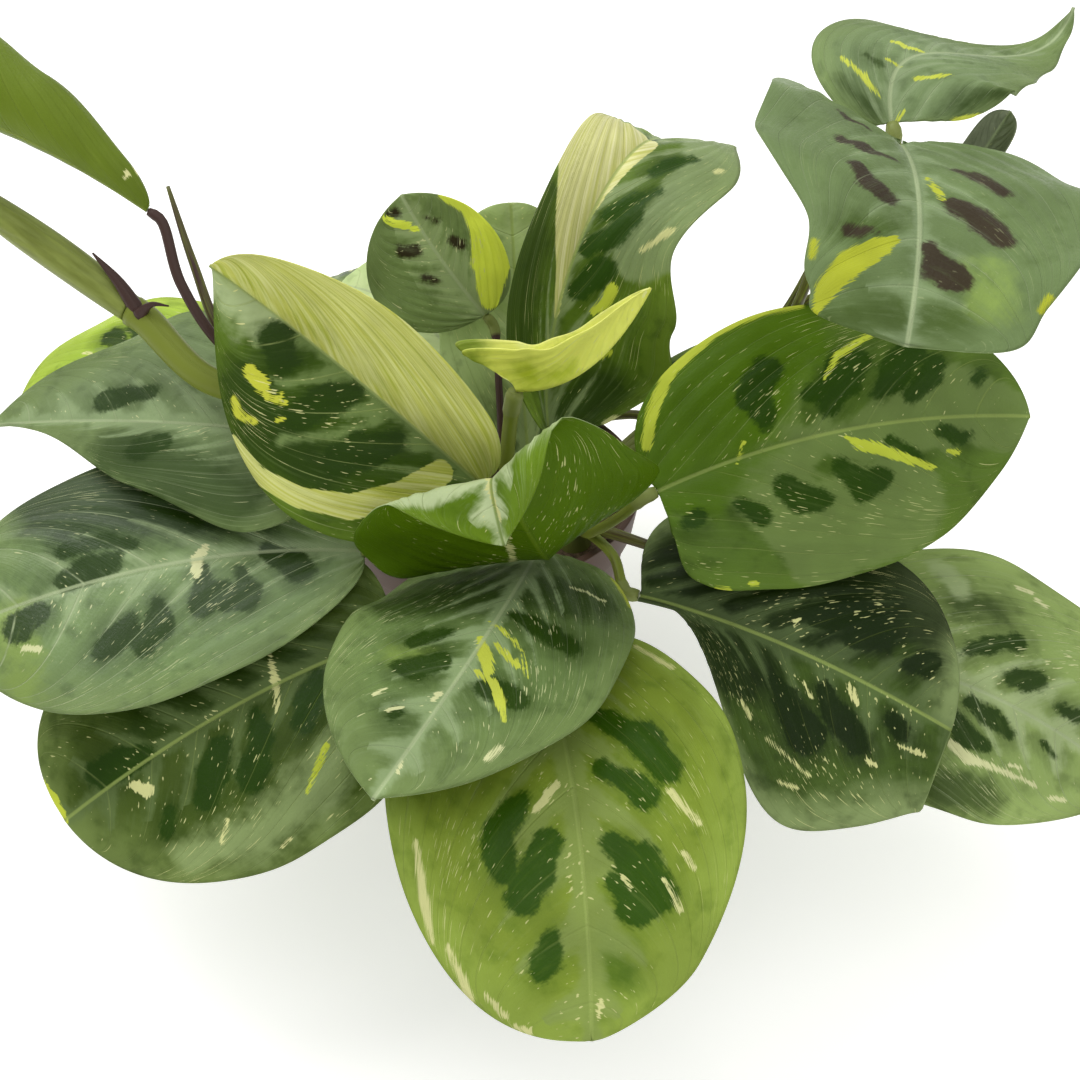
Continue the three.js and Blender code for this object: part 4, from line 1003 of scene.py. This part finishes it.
def curveThrough(points, steps):
    # a Catmull-Rom curve whose knots are the square roots of the distances between points,
    # taken at even steps of its length
    points = np.asarray(points, float)
    full = np.concatenate([[2 * points[0] - points[1]], points, [2 * points[-1] - points[-2]]])
    pieces = []
    for i in range(len(points) - 1):
        p0, p1, p2, p3 = full[i:i + 4]
        d0, d1, d2 = (
            max(np.linalg.norm(b - a), 1e-6) ** 0.5 for a, b in ((p0, p1), (p1, p2), (p2, p3)))
        slope1 = ((p1 - p0) / d0 - (p2 - p0) / (d0 + d1) + (p2 - p1) / d1) * d1
        slope2 = ((p2 - p1) / d1 - (p3 - p1) / (d1 + d2) + (p3 - p2) / d2) * d1
        t = np.linspace(0, 1, 40)[:, None]
        a = 2 * p1 - 2 * p2 + slope1 + slope2
        b = -3 * p1 + 3 * p2 - 2 * slope1 - slope2
        pieces.append(p1 + slope1 * t + b * t ** 2 + a * t ** 3)
    line = np.concatenate(pieces)
    along = np.concatenate([[0], np.cumsum(np.linalg.norm(np.diff(line, axis=0), axis=1))])
    wanted = np.linspace(0, along[-1], steps + 1)
    return np.stack([np.interp(wanted, along, line[:, k]) for k in range(3)], -1), wanted


def sectionFrames(line):
    # two directions across the line at each step, carried along it without turning round it
    ahead = unit(np.gradient(line, axis=0))
    first = np.zeros_like(line)
    guess = np.array([0.0, 0.0, 1.0]) if abs(ahead[0][2]) < 0.9 else np.array([1.0, 0.0, 0.0])
    for i, way in enumerate(ahead):
        guess = guess - way * (guess @ way)
        guess = guess / np.linalg.norm(guess)
        first[i] = guess
    return first, np.cross(ahead, first)


def ringFaces(rows, sides):
    # quads between rows of points round an axis, and a fan to a point before the first row
    # and to one after the last
    number = np.arange(rows * sides).reshape(rows, sides)
    after = np.roll(number, -1, axis=1)
    quads = np.stack([number[:-1], after[:-1], after[1:], number[1:]], -1).reshape(-1, 4)
    foot, tip = number.size, number.size + 1
    fans = np.concatenate([
        np.stack([np.full(sides, foot), after[0], number[0]], -1),
        np.stack([np.full(sides, tip), number[-1], after[-1]], -1)])
    return quads, fans


def tubeShape(line, radii, sides):
    # round sections of the given radii on a grid of steps and turns, closed by a point at
    # each end; radii may differ from turn to turn
    first, second = sectionFrames(line)
    turn = 2 * np.pi * np.arange(sides) / sides
    radii = np.broadcast_to(radii if radii.ndim == 2 else radii[:, None], (len(line), sides))
    ring = first[:, None] * np.cos(turn)[:, None] + second[:, None] * np.sin(turn)[:, None]
    points = line[:, None] + ring * radii[..., None]
    quads, fans = ringFaces(len(line), sides)
    allPoints = np.concatenate([points.reshape(-1, 3), line[:1], line[-1:]])
    return allPoints, quads, fans, np.concatenate([np.tile(turn, len(line)), [0, 0]])


def wayOf(name):
    # from the middle of the crown's depth up through its collar and along the way, and
    # straight into the blade over the joint
    way, rib = ways[name], ribOf(leaves[name])
    place, ahead = rib["places"][0], rib["ahead"][0]
    approach = unit(np.array(way["approach"], float)) if "approach" in way else ahead
    gap = stalk["jointGap"] + (stalk["turnedGap"] if "approach" in way else 0)
    x, y = shoots[way["shoot"]]
    root, collar = (x, y, soilTop - crown["depth"] / 2), (x, y, soilTop + crown["rise"])
    ends = (place - approach * stalk["jointLength"] / 2, place - approach * gap)
    return [root, collar, *way["via"], *ends]


def stalkRadii(along, radius, swell):
    # radius + sheathSwell * (1 - share / sheathShare)^1.5 at the foot, and a swollen joint at
    # the blade, rounded off over its last bit
    sheath = 1 - along / along[-1] / stalk["sheathShare"]
    sheath = stalk["sheathSwell"] * np.maximum(0, sheath) ** 1.5
    left = along[-1] - along
    starts, full = stalk["jointLength"], stalk["jointLength"] - stalk["jointEase"]
    joint = swell * stalk["jointSwell"] * smooth(starts, full, left)
    return radius + sheath + joint - stalk["endTaper"] * smooth(stalk["endLength"], 0, left)


# A maranta stalk is a juicy stem with fine ribs along it, green to purple-brown, with a
# satin skin; its joint below the blade is smoother and lighter.
stalkColors = dict(green="#76822e", purple="#43302a", joint="#7c8646", sheath="#727b3c")


def stalkMaterial(name, colors):
    material, tree = newMaterial(name)
    run = addNode(tree, "ShaderNodeAttribute", attribute_name="stalkRun").outputs["Vector"]
    hue = addNode(tree, "ShaderNodeAttribute", attribute_name="stalkHue").outputs["Fac"]
    zone, _, turned = addNode(tree, "ShaderNodeSeparateXYZ", {0: run}).outputs
    wave = addNode(tree, "ShaderNodeMath", {0: turned, 1: stalk["ribs"]}, operation="MULTIPLY")
    ribs = addNode(tree, "ShaderNodeMath", {0: wave.outputs[0]}, operation="SINE").outputs[0]
    # clouds of colour about 12 mm long along the stalk
    drawn = addNode(tree, "ShaderNodeVectorMath", {
        0: run, 1: (0.5, 0.08, 2.2)}, operation="MULTIPLY")
    cloud = addNode(tree, "ShaderNodeTexNoise", {
        "Vector": drawn.outputs[0], "Scale": 1.0, "Detail": 4.0}).outputs["Fac"]
    purple = addNode(tree, "ShaderNodeMath", {0: cloud, 1: hue}, operation="ADD").outputs[0]
    skin = linear(colors["green"])
    for value, start, end, key in (
            (purple, 0.8, 1.2, "purple"), (zone, 1.0, 2.0, "joint"), (zone, -0.2, -1.0, "sheath")):
        share = addNode(tree, "ShaderNodeMapRange", {
            "Value": value, "From Min": start, "From Max": end}).outputs[0]
        skin = addNode(tree, "ShaderNodeMix", {
            0: share, 6: skin, 7: linear(colors[key])}, data_type="RGBA").outputs[2]
    bump = addNode(tree, "ShaderNodeBump", {"Height": ribs, "Strength": 0.3, "Distance": 0.0003})
    shader = addNode(tree, "ShaderNodeBsdfPrincipled", {
        "Base Color": skin, "Roughness": 0.45, "Normal": bump.outputs[0], "IOR": 1.42,
        "Specular IOR Level": 0.3})
    addNode(tree, "ShaderNodeOutputMaterial", {"Surface": shader.outputs[0]})
    return material


def gather(parts):
    # several closed shapes as one mesh: (points, quads, triangles, run, hue) each; the hue
    # goes from 0 for green skin to 1 for purple
    points, quads, triangles, runs, hues, start = [], [], [], [], [], 0
    for part in parts:
        hues.append(np.full(len(part[0]), part[4]))
        points.append(part[0])
        quads.append(part[1] + start)
        triangles.append(part[2] + start)
        runs.append(part[3])
        start += len(part[0])
    return (np.concatenate(points), np.concatenate(quads), np.concatenate(triangles),
            dict(stalkRun=np.concatenate(runs), stalkHue=np.concatenate(hues)))


def spindle(radii, share):
    # the parabola through the radii at the foot, halfway and at the tip
    foot, middle, tip = radii
    return ((1 - share) * (1 - 2 * share) * foot + 4 * share * (1 - share) * middle
            + share * (2 * share - 1) * tip)


def stalkPart(line, hue, radius=0, joint=0, radii=None):
    # a tube along a line: a stalk with its sheath and joint, or a spindle of three radii. Its
    # run holds its zone, which is -1 in a sheath and 2 in a joint, its mm along and its turn.
    length = np.linalg.norm(np.diff(np.asarray(line, float), axis=0), axis=1).sum()
    steps = max(stalk["fewestSteps"], int(round(length / stalk["every"])))
    line, along = curveThrough(line, steps)
    mm = np.concatenate([np.repeat(along, stalk["sides"]), [0, along[-1]]])
    if radii:
        sizes, zone = spindle(radii, along / along[-1]), np.zeros_like(mm)
    else:
        starts, full = stalk["jointLength"], stalk["jointLength"] - stalk["jointFade"]
        sizes = stalkRadii(along, radius, joint)
        zone = (2.0 * joint * smooth(starts, full, along[-1] - mm)
                - smooth(*stalk["sheathFade"], mm / along[-1]))
    grid, quads, triangles, turns = tubeShape(line, sizes, stalk["sides"])
    return grid, quads, triangles, np.stack([zone, mm, turns], -1), hue


def crownPart(x, y):
    # an upright turned piece that narrows above the soil
    heights, radii = np.array(crown["profile"], float).T
    heights = soilTop + heights
    line = np.stack([np.full_like(heights, x), np.full_like(heights, y), heights], -1)
    grid, quads, triangles, turns = tubeShape(line, radii, crown["sides"])
    return grid, quads, triangles, np.stack([np.full(len(grid), -1.0), grid[:, 2], turns], -1), 0.5


# The rolled leaf: the section's radius steps down by the blade's thickness once round, and the
# free edge winds round the roll from foot to tip
rolledLeaf = dict(
    line=((-97, 4, 142), (-113, 14, 149), (-132, 25, 157), (-158, 41, 167)),
    radii=(3.7, 4.6, 0.8), steps=110, sides=48, winding=0.5, edge=0.1, edgeEase=0.06, inward=0.05,
    colors=dict(green="#8a9648", purple="#6c7630", joint="#8a9648", sheath="#8a9648"))
rolledStem = dict(
    line=((-22, 4, 70), (-26, 2, 92), (-40, -7, 117), (-58, -14, 127), (-77, -12, 132),
          (-93, 1.5, 140.3), (-96.4, 3.6, 141.7)), radii=(2.6, 3, 4.1), hue=0.1)
spear = dict(
    line=((-64, -9, 132), (-73, -4, 139), (-81, 10, 152), (-88, 25, 165)), radii=(1.2, 1.2, 0.5),
    hue=0.6)
# two dried bracts where the rolled leaf leaves its stem
bracts = (
    dict(line=((-94, 1, 142), (-99, 5, 149), (-106, 11, 154)), radii=(2.2, 1.4, 0.25), hue=1.1),
    dict(line=((-94, 0, 143), (-90, -1, 146.5), (-86, -1, 146)), radii=(1.8, 0.8, 0.2), hue=1.1),
)

for shoot, (x, y) in shoots.items():
    parts = [crownPart(x, y)]
    for name, way in ways.items():
        if way["shoot"] == shoot:
            parts.append(stalkPart(
                wayOf(name), way.get("hue", 0.5), way.get("radius", stalk["radius"]),
                way.get("joint", 1.0)))
    if shoot == "left":
        parts += [stalkPart(**extra) for extra in (rolledStem, spear, *bracts)]
    points, quads, triangles, fields = gather(parts)
    piece = makeMesh("stems_" + shoot, points, quads, triangles, fields)
    material = stalkMaterial("marantaStalk_" + shoot, stalkColors)
    finishPiece(piece, material, "stalk", "stalks_" + shoot)

line, along = curveThrough(rolledLeaf["line"], rolledLeaf["steps"])
share = along / along[-1]
turn = 2 * np.pi * np.arange(rolledLeaf["sides"]) / rolledLeaf["sides"]
wound = (turn[None] / (2 * np.pi) + rolledLeaf["winding"] * share[:, None]) % 1
rise = rolledLeaf["edge"] * smooth(0, rolledLeaf["edgeEase"], wound)
radii = spindle(rolledLeaf["radii"], share)[:, None] * (
    1 - rolledLeaf["edge"] + rise - rolledLeaf["inward"] * wound)
grid, quads, triangles, turns = tubeShape(line, radii, rolledLeaf["sides"])
mm = np.concatenate([np.repeat(along, rolledLeaf["sides"]), [0, along[-1]]])
fields = dict(
    stalkRun=np.stack([np.zeros(len(grid)), mm, turns], -1), stalkHue=np.full(len(grid), 0.5))
roll = makeMesh("roll_left", grid, quads, triangles, fields)
material = stalkMaterial("marantaRoll", rolledLeaf["colors"])
finishPiece(roll, material, "leaf_lime", "leaf_left_rolled")
print("stalks and rolled leaf, triangles so far:", sum(triangleCounts))


# The pot and its soil

pot = dict(
    height=84, rim=43, base=30, wall=1.6, floor=2.4, band=13, step=1.8, foot=2.5, footWidth=5,
    footDisc=9, lipOut=1, holeRadius=4.5, holeCircle=17, holes=6, drillLength=20, drillMiddle=3,
    drillSides=40, round=0.5, roundSteps=(0, 0.33, 0.67, 1), roundMost=2.5, sides=144,
    sharpAngle=50, color="#4e3427",
)
bandLow, floorTop = pot["height"] - pot["band"], pot["foot"] + pot["floor"]


def potOuter(z):
    return pot["base"] + (pot["rim"] - pot["step"] - pot["base"]) * z / pot["height"]


def potInner(z):
    # the inner wall's radius at a height: straight up to the band, then out to the rim
    low, high = potOuter(floorTop) - pot["wall"], potOuter(bandLow) - pot["wall"]
    if z <= bandLow:
        return low + (high - low) * (z - floorTop) / (bandLow - floorTop)
    widens = pot["rim"] - 2 * pot["wall"] - high + pot["lipOut"]
    return high + widens * (z - bandLow) / pot["band"]


def rounded(profile, radius):
    # each corner of a profile of (radius, height) points becomes a few points on a round
    made = []
    for i, corner in enumerate(profile):
        corner = np.array(corner, float)
        if i in (0, len(profile) - 1):
            made.append(corner)
            continue
        before, after = np.array(profile[i - 1], float), np.array(profile[i + 1], float)
        room = min(np.linalg.norm(before - corner), np.linalg.norm(after - corner))
        cut = min(radius, room / pot["roundMost"])
        start, end = corner + unit(before - corner) * cut, corner + unit(after - corner) * cut
        for t in pot["roundSteps"]:
            made.append((1 - t) ** 2 * start + 2 * t * (1 - t) * corner + t * t * end)
    return np.array(made)


def turnedShape(profile, sides):
    # a profile of radius and height carried round the pot's axis; its ends lie on the axis
    turn = 2 * np.pi * np.arange(sides) / sides
    inner = profile[1:-1]
    points = np.stack([
        inner[:, :1] * np.cos(turn), inner[:, :1] * np.sin(turn),
        np.broadcast_to(inner[:, 1:], (len(inner), sides))], -1)
    quads, fans = ringFaces(len(inner), sides)
    ends = np.array([[0, 0, profile[0, 1]], [0, 0, profile[-1, 1]]])
    return np.concatenate([points.reshape(-1, 3), ends]) - plantOffset, quads, fans


def cutHoles(piece):
    # the drain holes are upright drills taken out of the floor
    drills = []
    for i in range(pot["holes"]):
        turn, circle = 2 * math.pi * i / pot["holes"], pot["holeCircle"] * toMetres
        middle = pot["drillMiddle"] * toMetres
        bpy.ops.mesh.primitive_cylinder_add(
            vertices=pot["drillSides"], radius=pot["holeRadius"] * toMetres,
            depth=pot["drillLength"] * toMetres,
            location=(circle * math.cos(turn), circle * math.sin(turn), middle))
        drills.append(bpy.context.object)
    for drill in drills:
        cut = piece.modifiers.new("drill", "BOOLEAN")
        cut.operation, cut.solver, cut.object = "DIFFERENCE", "EXACT", drill
    bpy.context.view_layer.update()
    dependencies = bpy.context.evaluated_depsgraph_get()
    made = bpy.data.meshes.new_from_object(piece.evaluated_get(dependencies))
    piece.modifiers.clear()
    piece.data = made
    for drill in drills:
        bpy.data.objects.remove(drill)


ringRadius = pot["base"] - pot["footWidth"]
potProfile = [
    (0, 0), (pot["footDisc"], 0), (pot["footDisc"], pot["foot"]), (ringRadius, pot["foot"]),
    (ringRadius, 0), (pot["base"], 0), (potOuter(bandLow), bandLow),
    (potOuter(bandLow) + pot["step"], bandLow + pot["step"]), (pot["rim"], pot["height"]),
    (potInner(pot["height"]), pot["height"]), (potInner(bandLow), bandLow),
    (potInner(floorTop), floorTop), (0, floorTop),
]
points, quads, triangles = turnedShape(rounded(potProfile, pot["round"]), pot["sides"])
potPiece = makeMesh("pot_shell", points, quads, triangles)
cutHoles(potPiece)
potPiece.data.shade_smooth()
potPiece.data.set_sharp_from_angle(angle=math.radians(pot["sharpAngle"]))

# Injection-moulded polypropylene in a dark terracotta brown: even colour, a fine spark-eroded
# grain of about 0.4 mm and a dull sheen.
material, tree = newMaterial("mouldedPolypropylene")
place = addNode(tree, "ShaderNodeTexCoord").outputs["Object"]
grain = addNode(tree, "ShaderNodeTexNoise", {
    "Vector": place, "Scale": 2500.0, "Detail": 2.0}).outputs["Fac"]
cloud = addNode(tree, "ShaderNodeTexNoise", {
    "Vector": place, "Scale": 40.0, "Detail": 3.0}).outputs["Fac"]
shift = addNode(tree, "ShaderNodeMapRange", {
    "Value": cloud, "From Min": 0.3, "From Max": 0.7, "To Min": 0.94, "To Max": 1.05}).outputs[0]
color = addNode(tree, "ShaderNodeHueSaturation", {
    "Color": linear(pot["color"]), "Value": shift}).outputs[0]
bump = addNode(tree, "ShaderNodeBump", {"Height": grain, "Strength": 0.3, "Distance": 0.0001})
shader = addNode(tree, "ShaderNodeBsdfPrincipled", {
    "Base Color": color, "Roughness": 0.55, "Normal": bump.outputs[0], "IOR": 1.49})
addNode(tree, "ShaderNodeOutputMaterial", {"Surface": shader.outputs[0]})
finishPiece(potPiece, material, "pot", "pot")

# Soil: a low mound of peat with small lumps and crumbs
soil = dict(
    mound=2.2, lumps=0.45, crumbs=0.28, gap=0.45, overFloor=0.35, rings=64, sides=200,
    dark="#3c2f22", fibre="#7a664a", patch="#54442f",
)


def soilHeight(x, y):
    # the mound's cosine plus two sizes of rolling lumps, which die out to the wall
    share = np.clip(np.hypot(x, y) / soilReach, 0, 1)
    mound = soilTop + soil["mound"] * np.cos(np.pi / 2 * share)
    lumps = soil["lumps"] * np.sin(0.42 * x + 1.3) * np.sin(0.5 * y + 0.6 * np.sin(0.3 * x))
    crumbs = (soil["crumbs"] * np.sin(1.7 * x + np.sin(1.1 * y) * 2)
              * np.sin(1.9 * y + 1.5 * np.sin(0.9 * x)))
    return mound + (lumps + crumbs) * (1 - share ** 4)


soilReach = potInner(soilTop) - soil["gap"]
ringRadii = soilReach * np.linspace(0, 1, soil["rings"] + 1)[1:]
turn = 2 * np.pi * np.arange(soil["sides"]) / soil["sides"]
x, y = ringRadii[:, None] * np.cos(turn), ringRadii[:, None] * np.sin(turn)
top = np.stack([x, y, soilHeight(x, y)], -1)[::-1]
low, wallRings = floorTop + soil["overFloor"], []
for z in (low, bandLow):
    radius, level = potInner(z) - soil["gap"], np.full_like(turn, z)
    wallRings.append(np.stack([radius * np.cos(turn), radius * np.sin(turn), level], -1))
grid = np.concatenate([np.array(wallRings), top])
quads, fans = ringFaces(len(grid), soil["sides"])
ends = np.array([[0, 0, low], [0, 0, soilHeight(0.0, 0.0)]])
points = np.concatenate([grid.reshape(-1, 3), ends]) - plantOffset
soilPiece = makeMesh("soil_mound", points, quads, fans)

# Peat potting soil: dull, dark brown fibres and lumps with a broad, matt scatter.
material, tree = newMaterial("peatSoil")
place = addNode(tree, "ShaderNodeTexCoord").outputs["Object"]
crumb = addNode(tree, "ShaderNodeTexNoise", {
    "Vector": place, "Scale": 600.0, "Detail": 5.0, "Roughness": 0.65}).outputs["Fac"]
patch = addNode(tree, "ShaderNodeTexNoise", {
    "Vector": place, "Scale": 120.0, "Detail": 3.0}).outputs["Fac"]
color = linear(soil["dark"])
for value, start, end, most, key in (
        (crumb, 0.35, 0.65, 1.0, "fibre"), (patch, 0.5, 0.7, 0.6, "patch")):
    mask = addNode(tree, "ShaderNodeMapRange", {
        "Value": value, "From Min": start, "From Max": end, "To Max": most}).outputs[0]
    color = addNode(tree, "ShaderNodeMix", {
        0: mask, 6: color, 7: linear(soil[key])}, data_type="RGBA").outputs[2]
bump = addNode(tree, "ShaderNodeBump", {"Height": crumb, "Strength": 0.8, "Distance": 0.0012})
shader = addNode(tree, "ShaderNodeBsdfPrincipled", {
    "Base Color": color, "Roughness": 0.95, "Normal": bump.outputs[0]})
addNode(tree, "ShaderNodeOutputMaterial", {"Surface": shader.outputs[0]})
finishPiece(soilPiece, material, "soil", "soil")
print("pot and soil, triangles so far:", sum(triangleCounts))


# The room: a plain pale floor and soft studio light

room = dict(
    floorSize=6.0, floorColor="#f4f3f0", floorGlow=0.42, white=(1.0, 1.0, 1.0, 1.0), sky=0.6,
    lampAim=(0, -0.02, 0.1))
half = room["floorSize"] / 2
corners = [(-half, -half, 0), (half, -half, 0), (half, half, 0), (-half, half, 0)]
mesh = bpy.data.meshes.new("floor")
mesh.from_pydata(corners, [], [(0, 1, 2, 3)])
ground = bpy.data.objects.new("floor", mesh)
bpy.context.scene.collection.objects.link(ground)
material, tree = newMaterial("paleFloor")
# the floor glows a little, which is painted light: no lamp lies under it, and the glow keeps its
# shadows light and lights the plant from below
shader = addNode(tree, "ShaderNodeBsdfPrincipled", {
    "Base Color": linear(room["floorColor"]), "Roughness": 0.9, "Emission Color": room["white"],
    "Emission Strength": room["floorGlow"]})
addNode(tree, "ShaderNodeOutputMaterial", {"Surface": shader.outputs[0]})
mesh.materials.append(material)

world = bpy.data.worlds.new("softRoom")
bpy.context.scene.world = world
world.use_nodes = True
sky = world.node_tree.nodes["Background"]
sky.inputs["Color"].default_value = room["white"]
sky.inputs["Strength"].default_value = room["sky"]

# each lamp: its place and size in metres and its power in watts
lamps = dict(
    window=dict(place=(-0.6, 0.6, 1.3), size=1.1, watts=13),
    ceiling=dict(place=(0.4, -0.5, 1.5), size=1.4, watts=7),
)
for name, lamp in lamps.items():
    data = bpy.data.lights.new(name, "AREA")
    data.size, data.energy = lamp["size"], lamp["watts"]
    holder = bpy.data.objects.new(name, data)
    bpy.context.scene.collection.objects.link(holder)
    holder.location = lamp["place"]
    aim = np.array(room["lampAim"]) - np.array(lamp["place"])
    tilt, heading = math.acos(-aim[2] / np.linalg.norm(aim)), math.atan2(aim[1], aim[0])
    holder.rotation_euler = (tilt, 0, heading - math.pi / 2)

lens = bpy.data.cameras.new("camera")
lens.lens, lens.sensor_width, lens.clip_start = camera["lens"], camera["sensor"], 0.01
holder = bpy.data.objects.new("camera", lens)
bpy.context.scene.collection.objects.link(holder)
holder.location = (np.array(camera["place"]) + plantOffset) * toMetres
holder.rotation_euler = (math.radians(90 - camera["down"]), 0, 0)
bpy.context.scene.camera = holder
bpy.context.scene.view_settings.view_transform = "Standard"

print("triangles in all:", sum(triangleCounts))
